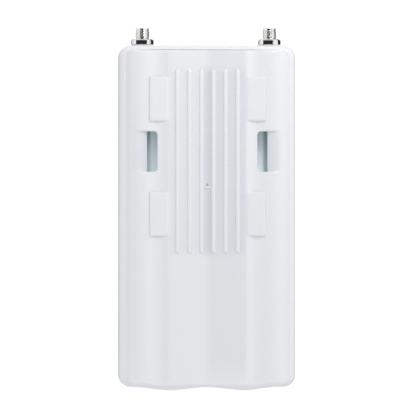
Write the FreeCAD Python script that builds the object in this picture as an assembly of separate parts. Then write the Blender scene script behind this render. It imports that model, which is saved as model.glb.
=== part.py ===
import FreeCAD, Part
import math
import os

from FreeCAD import Vector

# Outdoor wireless bridge: a flat upright radio housing that is strapped to a pole by its back.
# Millimetres. +Z is up, +X is right when the back is looked at, and the back faces -Y.
# The origin is the middle of the pole seat: centred between the strap slots, on the plane that
# the outer edges of the four bearing pads reach.

# ---- driving dimensions -------------------------------------------------------------------------
WIDTH = 80.0
DEPTH = 30.0
TOP_Z = 48.1
FOOT_Z = -106.9
LOBE_DROP = 1.6
LOBE_X = 17.0
CORNER_R = 5.2
WALL = 2.0
RIM_Y = 3.6
CROWN_DROP = 2.4
BACK_EDGE_R = 3.0
FRONT_EDGE_R = 4.6
RIM_FLANGE_WIDTH = 5.5
RIM_FLANGE_THICK = 2.5
GASKET_INSET = 3.6
GASKET_WIDTH = 1.2
GASKET_DEPTH = 1.0

# Back cover: shallow V trough with ribs, a valley and a rounded lobe on each side.
COVER_HALF = 36.9
COVER_TOP_Z = 46.1
COVER_FOOT_Z = -106.3
COVER_LOBE_DROP = 0.8
COVER_WALL = 1.8
CAVITY_TOP_MARGIN = 2.8
CAVITY_FOOT_MARGIN = 6.0
TROUGH_Y = 2.02
FACET_SLOPE = 0.07
FACET_HALF = 17.9
VALLEY_X = 20.7
VALLEY_Y = 1.5
LOBE_CREST_X = 28.8
LOBE_CREST_Y = 0.55
SHOULDER_X = 34.4
SHOULDER_Y = 1.6
ROLL_START_Y = -0.5
TOP_ROLL_LENGTH = 2.4
FOOT_ROLL_LENGTH = 11.0
RIBS_A_SIDE = 3
RIB_PITCH = 5.5
RIB_WIDTH = 2.0
RIB_HEIGHT = 0.9
RIB_TOP_Z = 37.3
RIB_FOOT_Z = -46.1
PAD_INNER_X = FACET_HALF
PAD_OUTER_X = 26.3
PAD_SPANS = ((14.0, 33.9), (-38.2, -18.5))
PAD_EDGE_R = 0.45
PAD_PROUD = 0.12
GATE_MARK_R = 0.9
GATE_MARK_Z = -15.0
GATE_MARK_HEIGHT = 0.25
HOOK_ZS = (34.0, 2.0, -28.0, -56.0)
HOOK_LENGTH = 8.0
HOOK_STEM = 1.3
HOOK_BARB = 0.8
HOOK_NOSE = 2.2

# Strap slots and the channel that joins them behind the bridge.
SLOT_INNER_X = 22.7
SLOT_OUTER_X = 27.3
SLOT_HALF_Z = 9.15
SLOT_CORNER_R = 1.8
SCOOP_OUTER_X = 34.2
SCOOP_DEPTH_Y = 2.9
BRIDGE_BACK_Y = 3.4
CHANNEL_FLOOR_Y = 8.5
CHANNEL_WALL = 1.4

# Sliding port door at the foot of the front shell; the shell's rim runs on behind it.
DOOR_BACK_Y = 11.5
DOOR_SEAM_SIDE_Z = -73.0
DOOR_SEAM_MIDDLE_Z = -69.0
DOOR_GAP = 0.3
SLEEVE_WALL = 1.5
SLEEVE_FOOT_Z = -98.0
SLEEVE_LIP_Z = -77.0
SLEEVE_FRONT_Y = 24.0
STEP_FOOT_Z = -68.0
BULKHEAD_FOOT_Z = -66.0
BULKHEAD_TOP_Z = -64.0
NOTCH_HALF_X = 6.0
NOTCH_FRONT_Y = 19.0
GRIP_COUNT = 5
GRIP_PITCH = 2.6
GRIP_WIDTH = 1.2
GRIP_DEPTH = 0.6
GRIP_HALF_X = 9.0
GRIP_TOP_Z = -84.0

# Circuit board, its screws and the parts on it.
BOARD_BACK_Y = 13.0
BOARD_THICK = 1.6
BOARD_HALF_X = 33.5
BOARD_TOP_Z = 37.5
BOARD_FOOT_Z = -86.0
SPREADER_THICK = 1.5
THERMAL_GAP = 0.9
POST_X = 29.5
POST_ZS = (18.0, -55.0)
POST_R = 3.0
SCREW_R = 1.25
LED_X = 24.0
LED_FIRST_Z = -50.0
LED_PITCH = 5.0
LED_COUNT = 6
PIPE_R = 1.2
PROCESSOR_X = -15.0
PROCESSOR_Z = -22.0
RADIO_Z = 16.0
SPREADER_HALF_X = 31.5
SPREADER_TOP_Z = 24.0
SPREADER_FOOT_Z = -60.0

BOARD_FRONT_Y = BOARD_BACK_Y + BOARD_THICK

# Threaded coaxial connectors on the top face: 1/4-36 thread, 6.35 mm across.
CONNECTOR_X = 29.0
CONNECTOR_Y = 16.4
THREAD_R = 3.175
CORE_R = 2.95
NUT_CORNERS = 10.2
NUT_TURN = -8.0
BOSS_HEIGHT = 0.5
NUT_HEIGHT = 2.7
TIP_Z = 56.35

# Ethernet socket at the board's lower edge, facing down, and the room for a plug inside it.
JACK_HALF_X = 8.0
JACK_HEIGHT = 11.2
JACK_TOP_Z = -65.0
JACK_MOUTH_Z = -86.5
JACK_SHEET = 0.4
PLUG_HALF_X = 5.9
PLUG_BACK_Y = BOARD_FRONT_Y + 2.6
PLUG_FRONT_Y = PLUG_BACK_Y + 6.9
PLUG_DEPTH = 13.0
CONTACT_COUNT = 8
CONTACT_PITCH = 1.016
CONTACT_WIDTH = 0.36

# Reset button beside the socket.
RESET_X = 15.0
RESET_Y = BOARD_FRONT_Y + 1.9
RESET_R = 1.2
RESET_SWITCH_HEIGHT = 3.8
RESET_WELL_TOP_Z = BOARD_FOOT_Z + 2.4
RESET_TIP_Z = BOARD_FOOT_Z - 1.4
RESET_TRAVEL = 0.3

# Heights along each antenna connector, and the coax and board plug behind it.
NUT_FOOT_Z = TOP_Z + BOSS_HEIGHT
NUT_TOP_Z = NUT_FOOT_Z + NUT_HEIGHT
THREAD_FOOT_Z = NUT_TOP_Z + 0.3
THREAD_TOP_Z = TIP_Z - 1.05
INNER_WALL_Z = TOP_Z - WALL
SEAL_THICK = 0.8
BODY_FOOT_Z = 39.5
BORE_R = 2.3
PIN_R = 0.46
COAX_R = 0.69
COAX_BEND_R = 4.0
BOARD_PLUG_X = 18.0
BOARD_PLUG_Z = 29.0
CRIMP_LENGTH = 1.9

HALF_WIDTH = WIDTH / 2.0
FAR = 120.0


# ---- small shape helpers ------------------------------------------------------------------------
def box(x0, x1, y0, y1, z0, z1):
    return Part.makeBox(x1 - x0, y1 - y0, z1 - z0, Vector(x0, y0, z0))


def rod_z(radius, x, y, z0, z1):
    return Part.makeCylinder(radius, z1 - z0, Vector(x, y, z0), Vector(0, 0, 1))


def rod_y(radius, x, z, y0, y1):
    return Part.makeCylinder(radius, y1 - y0, Vector(x, y0, z), Vector(0, 1, 0))


def prism(edges, direction):
    return Part.Face(Part.Wire(edges)).extrude(direction)


def polygon(points):
    return Part.makePolygon(list(points) + [points[0]]).Edges


def fused(shapes):
    result = shapes[0].multiFuse(shapes[1:]) if len(shapes) > 1 else shapes[0]
    return result.removeSplitter()


def mirrored(shape):
    return shape.mirror(Vector(0, 0, 0), Vector(1, 0, 0))


def both_sides(shape):
    return [shape, mirrored(shape)]


def edges_along(shape, axis):
    return [e for e in shape.Edges if abs(abs(e.tangentAt(e.FirstParameter).dot(axis)) - 1.0) < 1e-6]


def save(name, shape):
    shape.exportStep(os.path.join("parts", name + ".step"))


# ---- housing outlines ---------------------------------------------------------------------------
def outline_prism(half_x, top, foot, lobe_drop, corner, y0, y1):
    """The housing's upright outline, straight sides and a two-lobed foot, as a block from y0 to y1."""
    def point(x, z):
        return Vector(x, y0, z)

    straight_x = half_x - corner
    diagonal = corner * (1.0 - math.sqrt(0.5))
    foot_curve = Part.BSplineCurve()
    foot_curve.interpolate(
        Points=[
            point(-straight_x, foot),
            point(-LOBE_X, foot - lobe_drop),
            point(0.0, foot - 0.1 * lobe_drop),
            point(LOBE_X, foot - lobe_drop),
            point(straight_x, foot),
        ],
        InitialTangent=Vector(1, 0, 0),
        FinalTangent=Vector(1, 0, 0),
    )
    right = [
        Part.Arc(
            point(straight_x, foot), point(half_x - diagonal, foot + diagonal), point(half_x, foot + corner)
        ),
        Part.LineSegment(point(half_x, foot + corner), point(half_x, top - corner)),
        Part.Arc(
            point(half_x, top - corner), point(half_x - diagonal, top - diagonal), point(straight_x, top)
        ),
    ]
    edges = [curve.toShape() for curve in right]
    edges += [mirrored(edge) for edge in edges]
    edges.append(Part.LineSegment(point(-straight_x, top), point(straight_x, top)).toShape())
    edges.append(foot_curve.toShape())
    wire = Part.Wire(Part.__sortEdges__(edges))
    return Part.Face(wire).extrude(Vector(0, y1 - y0, 0))


def crowned_block(inset, y0):
    """Everything behind the front face, which bulges gently from side to side, less the inset."""
    middle = DEPTH - inset
    side = middle - CROWN_DROP
    reach = HALF_WIDTH + 1.0
    crown = Part.Arc(Vector(-reach, side, -FAR), Vector(0, middle, -FAR), Vector(reach, side, -FAR))
    walls = Part.makePolygon([
        Vector(reach, side, -FAR), Vector(reach, y0, -FAR),
        Vector(-reach, y0, -FAR), Vector(-reach, side, -FAR),
    ])
    return prism([crown.toShape()] + walls.Edges, Vector(0, 0, 2 * FAR))


def inset_housing(inset, y0):
    """The front shell's form shrunk by the inset, as a solid that starts at y0."""
    corner = max(CORNER_R - inset, 1.0)
    block = outline_prism(
        HALF_WIDTH - inset, TOP_Z - inset, FOOT_Z + inset, LOBE_DROP, corner, y0, DEPTH + 5.0
    )
    return block.common(crowned_block(inset, y0 - 1.0))


def housing_outside():
    solid = inset_housing(0.0, RIM_Y)
    back_loop = [e for e in solid.Edges if e.BoundBox.YMax < RIM_Y + 0.01]
    rounded = solid.makeFillet(BACK_EDGE_R, back_loop)
    front_loop = [
        e for e in rounded.Edges
        if e.BoundBox.YMin > DEPTH - CROWN_DROP - 1.0 and len(e.Vertexes) == 2
    ]
    return rounded.makeFillet(FRONT_EDGE_R, front_loop)


def housing_hollow():
    room = inset_housing(WALL, RIM_Y + RIM_FLANGE_THICK)
    mouth = outline_prism(
        HALF_WIDTH - RIM_FLANGE_WIDTH, TOP_Z - RIM_FLANGE_WIDTH, FOOT_Z + RIM_FLANGE_WIDTH, LOBE_DROP,
        1.0, RIM_Y - 1.0, RIM_Y + RIM_FLANGE_THICK + 1.0
    )
    return room.fuse(mouth)


def door_zone(gap):
    """Everything in front of the rim and below the curved seam, less a gap on both sides."""
    def point(x, z):
        return Vector(x, DOOR_BACK_Y + gap, z)

    reach = HALF_WIDTH + 2.0
    side = DOOR_SEAM_SIDE_Z - gap
    seam = Part.Arc(point(-reach, side), point(0.0, DOOR_SEAM_MIDDLE_Z - gap), point(reach, side))
    walls = Part.makePolygon([
        point(reach, side), point(reach, -FAR), point(-reach, -FAR), point(-reach, side)
    ])
    return prism([seam.toShape()] + walls.Edges, Vector(0, 2 * DEPTH, 0))


# ---- front shell and port door ------------------------------------------------------------------
def door_sleeve():
    """Two cheeks and a front lip on the front shell, which the port door slides over."""
    outer = inset_housing(WALL + DOOR_GAP, RIM_Y + RIM_FLANGE_THICK + DOOR_GAP)
    inner = inset_housing(WALL + DOOR_GAP + SLEEVE_WALL, RIM_Y)
    band = outer.cut(inner)
    lip_zone = box(-HALF_WIDTH, HALF_WIDTH, 0, DEPTH, SLEEVE_LIP_Z, BULKHEAD_TOP_Z)
    cheek_zone = box(-HALF_WIDTH, HALF_WIDTH, 0, SLEEVE_FRONT_Y, SLEEVE_FOOT_Z, BULKHEAD_TOP_Z)
    sleeve = band.common(lip_zone.fuse(cheek_zone))
    step_outer = inset_housing(WALL - 0.2, RIM_Y + RIM_FLANGE_THICK + DOOR_GAP)
    step = step_outer.cut(inner).common(
        box(-HALF_WIDTH, HALF_WIDTH, 0, DEPTH, STEP_FOOT_Z, BULKHEAD_TOP_Z)
    )
    return sleeve.fuse(step)


def bulkhead():
    """The wall between the electronics and the port bay, cut out round the Ethernet socket."""
    plate = inset_housing(WALL - 0.2, BOARD_FRONT_Y + DOOR_GAP)
    plate = plate.common(box(-HALF_WIDTH, HALF_WIDTH, 0, DEPTH, BULKHEAD_FOOT_Z, BULKHEAD_TOP_Z))
    gap_x = JACK_HALF_X + 0.4
    return plate.cut(box(-gap_x, gap_x, 0, BOARD_FRONT_Y + JACK_HEIGHT + 0.4, -FAR, FAR))


def board_posts():
    posts = [
        rod_y(POST_R, side * POST_X, z, BOARD_FRONT_Y, DEPTH - WALL)
        for side in (-1, 1)
        for z in POST_ZS
    ]
    return [post.common(crowned_block(WALL - 0.5, 0.0)) for post in posts]


def gasket_path(inset, foot, y):
    """Inverted U that runs up one side of the rim, across the top and down the other side."""
    x = HALF_WIDTH - inset
    top = TOP_Z - inset
    radius = CORNER_R
    diagonal = radius * (1.0 - math.sqrt(0.5))
    right = [
        Part.LineSegment(Vector(x, y, foot), Vector(x, y, top - radius)),
        Part.Arc(
            Vector(x, y, top - radius),
            Vector(x - diagonal, y, top - diagonal),
            Vector(x - radius, y, top),
        ),
    ]
    edges = [curve.toShape() for curve in right]
    edges += [mirrored(edge) for edge in edges]
    edges.append(Part.LineSegment(Vector(x - radius, y, top), Vector(radius - x, y, top)).toShape())
    return edges


def rim_gasket():
    """Seal cord between the rim and the back cover: the band between two nested inverted Us."""
    foot = DOOR_SEAM_SIDE_Z + 4.0
    outer = gasket_path(GASKET_INSET, foot, RIM_Y)
    inner = gasket_path(GASKET_INSET + GASKET_WIDTH, foot, RIM_Y)
    outer_x = HALF_WIDTH - GASKET_INSET
    inner_x = outer_x - GASKET_WIDTH
    ends = [
        Part.LineSegment(Vector(side * outer_x, RIM_Y, foot), Vector(side * inner_x, RIM_Y, foot)).toShape()
        for side in (-1, 1)
    ]
    wire = Part.Wire(Part.__sortEdges__(outer + inner + ends))
    return Part.Face(wire).extrude(Vector(0, GASKET_DEPTH, 0))


def front_shell(outside, hollow):
    shell = outside.cut(hollow).cut(door_zone(0.0))
    shell = fused([shell, door_sleeve(), bulkhead()] + board_posts())
    bosses = [
        rod_z(5.6, side * CONNECTOR_X, CONNECTOR_Y, TOP_Z - 1.0, TOP_Z + BOSS_HEIGHT)
        for side in (-1, 1)
    ]
    shell = fused([shell] + bosses)
    holes = [
        rod_z(THREAD_R + 0.1, side * CONNECTOR_X, CONNECTOR_Y, TOP_Z - 5.0, TOP_Z + 5.0)
        for side in (-1, 1)
    ]
    holes += [
        rod_y(SCREW_R, side * POST_X, z, BOARD_FRONT_Y, BOARD_FRONT_Y + 6.0)
        for side in (-1, 1)
        for z in POST_ZS
    ]
    holes += [
        rod_y(PIPE_R + 0.05, LED_X, LED_FIRST_Z + LED_PITCH * i, DEPTH - 6.0, DEPTH + 1.0)
        for i in range(LED_COUNT)
    ]
    holes.append(rim_gasket())
    return shell.cut(holes).removeSplitter()


def port_door(outside, hollow):
    """Shield-shaped door with a cable notch in its foot and finger ridges near it."""
    door = outside.cut(hollow).common(door_zone(DOOR_GAP))
    notch = box(-NOTCH_HALF_X, NOTCH_HALF_X, 0, NOTCH_FRONT_Y, -FAR, FOOT_Z + RIM_FLANGE_WIDTH + 1.0)
    grip_floor = DEPTH - GRIP_DEPTH
    grips = []
    for i in range(GRIP_COUNT):
        z = GRIP_TOP_Z - GRIP_PITCH * i
        grips.append(box(-GRIP_HALF_X, GRIP_HALF_X, grip_floor, DEPTH + 1.0, z - GRIP_WIDTH, z))
    return door.cut([notch] + grips)


# ---- back cover and strap channel ---------------------------------------------------------------
def facet_y(x):
    return TROUGH_Y - FACET_SLOPE * abs(x)


def back_profile(shift):
    """The back's relief from side to side, closed at the rim, moved inwards by the shift."""
    def point(x, y):
        return Vector(x, y + shift, -FAR)

    lobe = Part.BSplineCurve()
    lobe.interpolate(
        Points=[
            point(FACET_HALF, facet_y(FACET_HALF)),
            point(VALLEY_X, VALLEY_Y),
            point(LOBE_CREST_X, LOBE_CREST_Y),
            point(SHOULDER_X, SHOULDER_Y),
            point(COVER_HALF, RIM_Y),
        ],
        InitialTangent=Vector(1.0, 0.28, 0),
        FinalTangent=Vector(0.78, 0.62, 0),
    )
    right = [
        Part.LineSegment(point(0.0, TROUGH_Y), point(FACET_HALF, facet_y(FACET_HALF))).toShape(),
        lobe.toShape(),
    ]
    base = Part.LineSegment(point(-COVER_HALF, RIM_Y), point(COVER_HALF, RIM_Y)).toShape()
    edges = right + [mirrored(e) for e in right] + [base]
    return Part.Face(Part.Wire(Part.__sortEdges__(edges))).extrude(Vector(0, 0, 2 * FAR))


def rolled_ends():
    """Side view of the back: square in the middle, rolling over tightly on top and longer below."""
    def point(y, z):
        return Vector(-FAR, y, z)

    front = RIM_Y + 1.0
    top = COVER_TOP_Z
    foot = COVER_FOOT_Z - COVER_LOBE_DROP
    top_roll = Part.BezierCurve()
    top_end = point(ROLL_START_Y, top - TOP_ROLL_LENGTH)
    top_roll.setPoles([top_end, point(ROLL_START_Y, top), point(RIM_Y, top)])
    foot_roll = Part.BezierCurve()
    foot_end = point(ROLL_START_Y, foot + FOOT_ROLL_LENGTH)
    foot_roll.setPoles([point(RIM_Y, foot), point(ROLL_START_Y, foot), foot_end])
    edges = [
        Part.makeLine(foot_end, top_end),
        top_roll.toShape(),
        Part.makeLine(point(RIM_Y, top), point(front, top)),
        Part.makeLine(point(front, top), point(front, foot)),
        Part.makeLine(point(front, foot), point(RIM_Y, foot)),
        foot_roll.toShape(),
    ]
    return prism(edges, Vector(2 * FAR, 0, 0))


def rib(x):
    """One long rib with a rounded crest and ends that slope down to the trough."""
    base = facet_y(x)
    crest = base - RIB_HEIGHT
    root = TROUGH_Y + 0.6
    half = RIB_WIDTH / 2.0

    def section(across, y):
        return Vector(x + across, y, RIB_FOOT_Z)

    def side(y, z):
        return Vector(-FAR, y, z)

    left_shoulder = section(-0.62 * half, crest + 0.3)
    right_shoulder = section(0.62 * half, crest + 0.3)
    edges = [Part.Arc(left_shoulder, section(0.0, crest), right_shoulder).toShape()]
    edges += Part.makePolygon([
        right_shoulder, section(half, base + 0.1), section(half, root),
        section(-half, root), section(-half, base + 0.1), left_shoulder
    ]).Edges
    bar = prism(edges, Vector(0, 0, RIB_TOP_Z - RIB_FOOT_Z))
    side_view = polygon([
        side(crest - 0.1, RIB_FOOT_Z + RIB_HEIGHT), side(crest - 0.1, RIB_TOP_Z - RIB_HEIGHT),
        side(base, RIB_TOP_Z), side(root + 1.0, RIB_TOP_Z),
        side(root + 1.0, RIB_FOOT_Z), side(base, RIB_FOOT_Z)
    ])
    return bar.common(prism(side_view, Vector(2 * FAR, 0, 0)))


def bearing_pad(z0, z1):
    """Right-hand pad: carries the facet's plane out over the valley, with softened edges."""
    root_y = VALLEY_Y + 0.5
    pad = prism(
        polygon([
            Vector(PAD_INNER_X, facet_y(PAD_INNER_X) - PAD_PROUD, z0),
            Vector(PAD_OUTER_X, facet_y(PAD_OUTER_X) - PAD_PROUD, z0),
            Vector(PAD_OUTER_X, root_y, z0),
            Vector(PAD_INNER_X, root_y, z0),
        ]),
        Vector(0, 0, z1 - z0),
    )
    outer_edges = [
        e for e in pad.Edges
        if e.BoundBox.YMax < root_y - 0.1 and e.BoundBox.XMax > PAD_OUTER_X - 0.01
    ]
    return pad.makeFillet(PAD_EDGE_R, outer_edges)


def strap_slot():
    """Right-hand slot: sharp outer corners, rounded corners on the bridge side."""
    slot = box(SLOT_INNER_X, SLOT_OUTER_X, -5.0, 20.0, -SLOT_HALF_Z, SLOT_HALF_Z)
    inner_edges = [e for e in edges_along(slot, Vector(0, 1, 0)) if e.BoundBox.XMax < SLOT_INNER_X + 0.01]
    return slot.makeFillet(SLOT_CORNER_R, inner_edges)


def strap_scoop():
    """Right-hand ramp that leads a strap in from the side of the housing to the slot."""
    def point(x, y):
        return Vector(x, y, -SLOT_HALF_Z)

    inner_x = SLOT_OUTER_X - 0.5
    profile = polygon([
        point(SCOOP_OUTER_X, SHOULDER_Y - 0.1), point(inner_x, SCOOP_DEPTH_Y),
        point(inner_x, -5.0), point(SCOOP_OUTER_X, -5.0)
    ])
    return prism(profile, Vector(0, 0, 2 * SLOT_HALF_Z))


def snap_hooks():
    """Hooks along both sides of the back cover, which catch behind the front shell's rim."""
    outer = HALF_WIDTH - RIM_FLANGE_WIDTH - 0.3
    inner = outer - HOOK_STEM
    root = RIM_Y - 1.4
    latch_y = RIM_Y + RIM_FLANGE_THICK + 0.2
    nose_y = latch_y + HOOK_NOSE
    hooks = []
    for middle in HOOK_ZS:
        z = middle - HOOK_LENGTH / 2.0
        profile = polygon([
            Vector(inner, root, z), Vector(outer, root, z), Vector(outer, latch_y, z),
            Vector(outer + HOOK_BARB, latch_y, z), Vector(outer, nose_y, z), Vector(inner, nose_y, z)
        ])
        hooks += both_sides(prism(profile, Vector(0, 0, HOOK_LENGTH)))
    return hooks


def rear_cover():
    """The whole cover: relief with ribs, pads and slots outside, hollow and hooks inside."""
    form = back_profile(0.0).common(rolled_ends())
    form = form.common(outline_prism(
        COVER_HALF, COVER_TOP_Z, COVER_FOOT_Z, COVER_LOBE_DROP, CORNER_R - 2.0, -5.0, RIM_Y
    ))
    cavity_half_x = COVER_HALF - COVER_WALL - 0.5
    cavity = back_profile(COVER_WALL).common(box(
        -cavity_half_x, cavity_half_x, 0, RIM_Y + COVER_WALL,
        COVER_FOOT_Z + CAVITY_FOOT_MARGIN, COVER_TOP_Z - CAVITY_TOP_MARGIN
    ))
    collar_half_x = SLOT_OUTER_X + CHANNEL_WALL + 1.0
    collar_half_z = SLOT_HALF_Z + CHANNEL_WALL + 1.0
    cavity = cavity.cut(box(-collar_half_x, collar_half_x, 0, BRIDGE_BACK_Y, -collar_half_z, collar_half_z))
    channel_seat = box(
        -collar_half_x, collar_half_x, BRIDGE_BACK_Y, RIM_Y, -collar_half_z, collar_half_z
    )
    additions = [rib(side * RIB_PITCH * (i + 0.5)) for side in (-1, 1) for i in range(RIBS_A_SIDE)]
    for z0, z1 in PAD_SPANS:
        additions += both_sides(bearing_pad(z0, z1))
    gate_mark = rod_y(GATE_MARK_R, 0.0, GATE_MARK_Z, TROUGH_Y - GATE_MARK_HEIGHT, TROUGH_Y + 1.0)
    form = fused([form, gate_mark] + additions)
    form = form.cut([cavity, channel_seat] + both_sides(strap_slot()) + both_sides(strap_scoop()))
    return fused([form] + snap_hooks())


def strap_channel():
    """Open trough behind the bridge: it closes the housing and carries the strap across."""
    half_x = SLOT_OUTER_X + CHANNEL_WALL
    half_z = SLOT_HALF_Z + CHANNEL_WALL
    block = box(-half_x, half_x, BRIDGE_BACK_Y, CHANNEL_FLOOR_Y + CHANNEL_WALL, -half_z, half_z)
    room = box(
        -SLOT_OUTER_X, SLOT_OUTER_X, BRIDGE_BACK_Y - 1.0, CHANNEL_FLOOR_Y, -SLOT_HALF_Z, SLOT_HALF_Z
    )
    return block.cut(room)


# ---- board and what is on it --------------------------------------------------------------------
def circuit_board():
    board = box(-BOARD_HALF_X, BOARD_HALF_X, BOARD_BACK_Y, BOARD_FRONT_Y, BOARD_FOOT_Z, BOARD_TOP_Z)
    board = board.makeFillet(2.0, edges_along(board, Vector(0, 1, 0)))
    holes = [
        rod_y(SCREW_R + 0.15, side * POST_X, z, 0, DEPTH) for side in (-1, 1) for z in POST_ZS
    ]
    return board.cut(holes)


def heat_spreader():
    back = BOARD_BACK_Y - THERMAL_GAP - SPREADER_THICK
    plate = box(
        -SPREADER_HALF_X, SPREADER_HALF_X, back, back + SPREADER_THICK, SPREADER_FOOT_Z, SPREADER_TOP_Z
    )
    plate = plate.makeFillet(3.0, edges_along(plate, Vector(0, 1, 0)))
    feet = [
        rod_y(1.9, side * POST_X, z, back + SPREADER_THICK, BOARD_BACK_Y)
        for side in (-1, 1)
        for z in POST_ZS
    ]
    holes = [
        rod_y(SCREW_R + 0.15, side * POST_X, z, 0, DEPTH) for side in (-1, 1) for z in POST_ZS
    ]
    return fused([plate] + feet).cut(holes)


def thermal_pads():
    """Silicone pads between the board and the heat spreader, behind the two hot chips."""
    back = BOARD_BACK_Y - THERMAL_GAP

    def pad(x, z, half_x, half_z):
        return box(x - half_x, x + half_x, back, BOARD_BACK_Y, z - half_z, z + half_z)

    return Part.makeCompound([pad(PROCESSOR_X, PROCESSOR_Z, 9.0, 9.0), pad(0.0, RADIO_Z, 9.0, 7.0)])


def board_screws():
    """Pan-head screws: in from the back through the heat spreader and the board to the posts."""
    head_front = BOARD_BACK_Y - THERMAL_GAP - SPREADER_THICK
    screws = []
    for side in (-1, 1):
        for z in POST_ZS:
            head = rod_y(2.2, side * POST_X, z, head_front - 1.5, head_front)
            rim = [e for e in head.Edges if e.BoundBox.YMax < head_front - 1.4]
            head = head.makeFillet(0.7, rim)
            drive = [
                box(side * POST_X - 1.1, side * POST_X + 1.1, 0, head_front - 0.7, z - 0.25, z + 0.25),
                box(side * POST_X - 0.25, side * POST_X + 0.25, 0, head_front - 0.7, z - 1.1, z + 1.1),
            ]
            shank = rod_y(SCREW_R, side * POST_X, z, head_front, BOARD_FRONT_Y + 5.5)
            screws.append(fused([head, shank]).cut(drive))
    return Part.makeCompound(screws)


def open_can(x, z, half_x, half_z, height):
    """A folded sheet-metal shield, open towards the board, with rounded upright corners."""
    sheet = 0.4
    x0 = x - half_x
    x1 = x + half_x
    z0 = z - half_z
    z1 = z + half_z
    can = box(x0, x1, BOARD_FRONT_Y, BOARD_FRONT_Y + height, z0, z1)
    can = can.makeFillet(1.0, edges_along(can, Vector(0, 1, 0)))
    room = box(
        x0 + sheet, x1 - sheet, BOARD_FRONT_Y, BOARD_FRONT_Y + height - sheet, z0 + sheet, z1 - sheet
    )
    return can.cut(room)


def board_block(x, z, half_x, half_z, height, edge):
    """A moulded component standing on the board, with its front edges softened."""
    block = box(
        x - half_x, x + half_x, BOARD_FRONT_Y, BOARD_FRONT_Y + height, z - half_z, z + half_z
    )
    front = [e for e in block.Edges if e.BoundBox.YMin > BOARD_FRONT_Y + height - 0.01]
    return block.makeChamfer(edge, front)


def board_can_capacitor(x, z, height):
    can = rod_y(3.15, x, z, BOARD_FRONT_Y + 0.8, BOARD_FRONT_Y + height)
    crown = [e for e in can.Edges if e.BoundBox.YMin > BOARD_FRONT_Y + height - 0.01]
    base = box(x - 3.3, x + 3.3, BOARD_FRONT_Y, BOARD_FRONT_Y + 0.8, z - 3.3, z + 3.3)
    return fused([can.makeFillet(0.5, crown), base])


def surge_arrestor(x, z):
    """A gas tube lying across the board."""
    radius = 2.4
    length = 5.0
    start = Vector(x - length / 2.0, BOARD_FRONT_Y + radius + 0.1, z)
    tube = Part.makeCylinder(radius, length, start, Vector(1, 0, 0))
    rim = [e for e in tube.Edges if len(e.Vertexes) == 1]
    return tube.makeFillet(0.4, rim)


def light_pipes():
    """Six clear rods on one carrier bar, each from its lamp to the front face."""
    first = LED_FIRST_Z
    last = LED_FIRST_Z + LED_PITCH * (LED_COUNT - 1)
    bar = box(LED_X - 1.0, LED_X + 1.0, 19.0, 20.5, first - 2.0, last + 2.0)
    rods = [rod_y(PIPE_R, LED_X, first + LED_PITCH * i, 16.0, DEPTH) for i in range(LED_COUNT)]
    return fused([bar] + [r.common(crowned_block(0.0, 0.0)) for r in rods])


def status_leds():
    return Part.makeCompound([
        board_block(LED_X, z, 0.8, 0.8, 1.0, 0.2)
        for z in [LED_FIRST_Z + LED_PITCH * i for i in range(LED_COUNT)]
    ])


# ---- Ethernet socket ----------------------------------------------------------------------------
def jack_room():
    """Where a plug goes: the main socket and the narrower step for the plug's latch."""
    socket = box(
        -PLUG_HALF_X, PLUG_HALF_X, PLUG_BACK_Y, PLUG_FRONT_Y, JACK_MOUTH_Z - 1.0, JACK_MOUTH_Z + PLUG_DEPTH
    )
    latch = box(
        -3.1, 3.1, PLUG_BACK_Y - 1.6, PLUG_FRONT_Y, JACK_MOUTH_Z - 1.0, JACK_MOUTH_Z + PLUG_DEPTH - 4.0
    )
    return fused([socket, latch])


def ethernet_shield():
    can = box(
        -JACK_HALF_X, JACK_HALF_X, BOARD_FRONT_Y, BOARD_FRONT_Y + JACK_HEIGHT, JACK_MOUTH_Z, JACK_TOP_Z
    )
    room = box(
        -JACK_HALF_X + JACK_SHEET, JACK_HALF_X - JACK_SHEET, BOARD_FRONT_Y,
        BOARD_FRONT_Y + JACK_HEIGHT - JACK_SHEET, JACK_MOUTH_Z + JACK_SHEET, JACK_TOP_Z - JACK_SHEET
    )
    return can.cut([room, jack_room()])


def ethernet_insert():
    block = box(
        -JACK_HALF_X + JACK_SHEET, JACK_HALF_X - JACK_SHEET, BOARD_FRONT_Y,
        BOARD_FRONT_Y + JACK_HEIGHT - JACK_SHEET, JACK_MOUTH_Z + JACK_SHEET, JACK_TOP_Z - JACK_SHEET
    )
    return block.cut([jack_room(), ethernet_contacts()])


def ethernet_contacts():
    """Eight gold wires that stand out from the socket's front wall, in a row."""
    wires = []
    for i in range(CONTACT_COUNT):
        x = CONTACT_PITCH * (i - (CONTACT_COUNT - 1) / 2.0) - CONTACT_WIDTH / 2.0
        profile = polygon([
            Vector(x, PLUG_FRONT_Y + 0.4, JACK_MOUTH_Z + 4.0),
            Vector(x, PLUG_FRONT_Y, JACK_MOUTH_Z + 4.0),
            Vector(x, PLUG_FRONT_Y - 1.6, JACK_MOUTH_Z + 11.0),
            Vector(x, PLUG_FRONT_Y - 1.2, JACK_MOUTH_Z + 11.4),
        ])
        wires.append(prism(profile, Vector(CONTACT_WIDTH, 0, 0)))
    return Part.makeCompound(wires)


# ---- reset button -------------------------------------------------------------------------------
def reset_switch():
    body = box(
        RESET_X - 3.0, RESET_X + 3.0, BOARD_FRONT_Y, BOARD_FRONT_Y + RESET_SWITCH_HEIGHT,
        BOARD_FOOT_Z, RESET_WELL_TOP_Z + 1.2
    )
    return body.cut(rod_z(RESET_R + 0.05, RESET_X, RESET_Y, BOARD_FOOT_Z - 1.0, RESET_WELL_TOP_Z))


def reset_button():
    plunger = rod_z(RESET_R, RESET_X, RESET_Y, RESET_TIP_Z, RESET_WELL_TOP_Z - RESET_TRAVEL - 0.1)
    tip = [e for e in plunger.Edges if e.BoundBox.ZMax < RESET_TIP_Z + 0.01]
    return plunger.makeFillet(0.3, tip)


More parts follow.
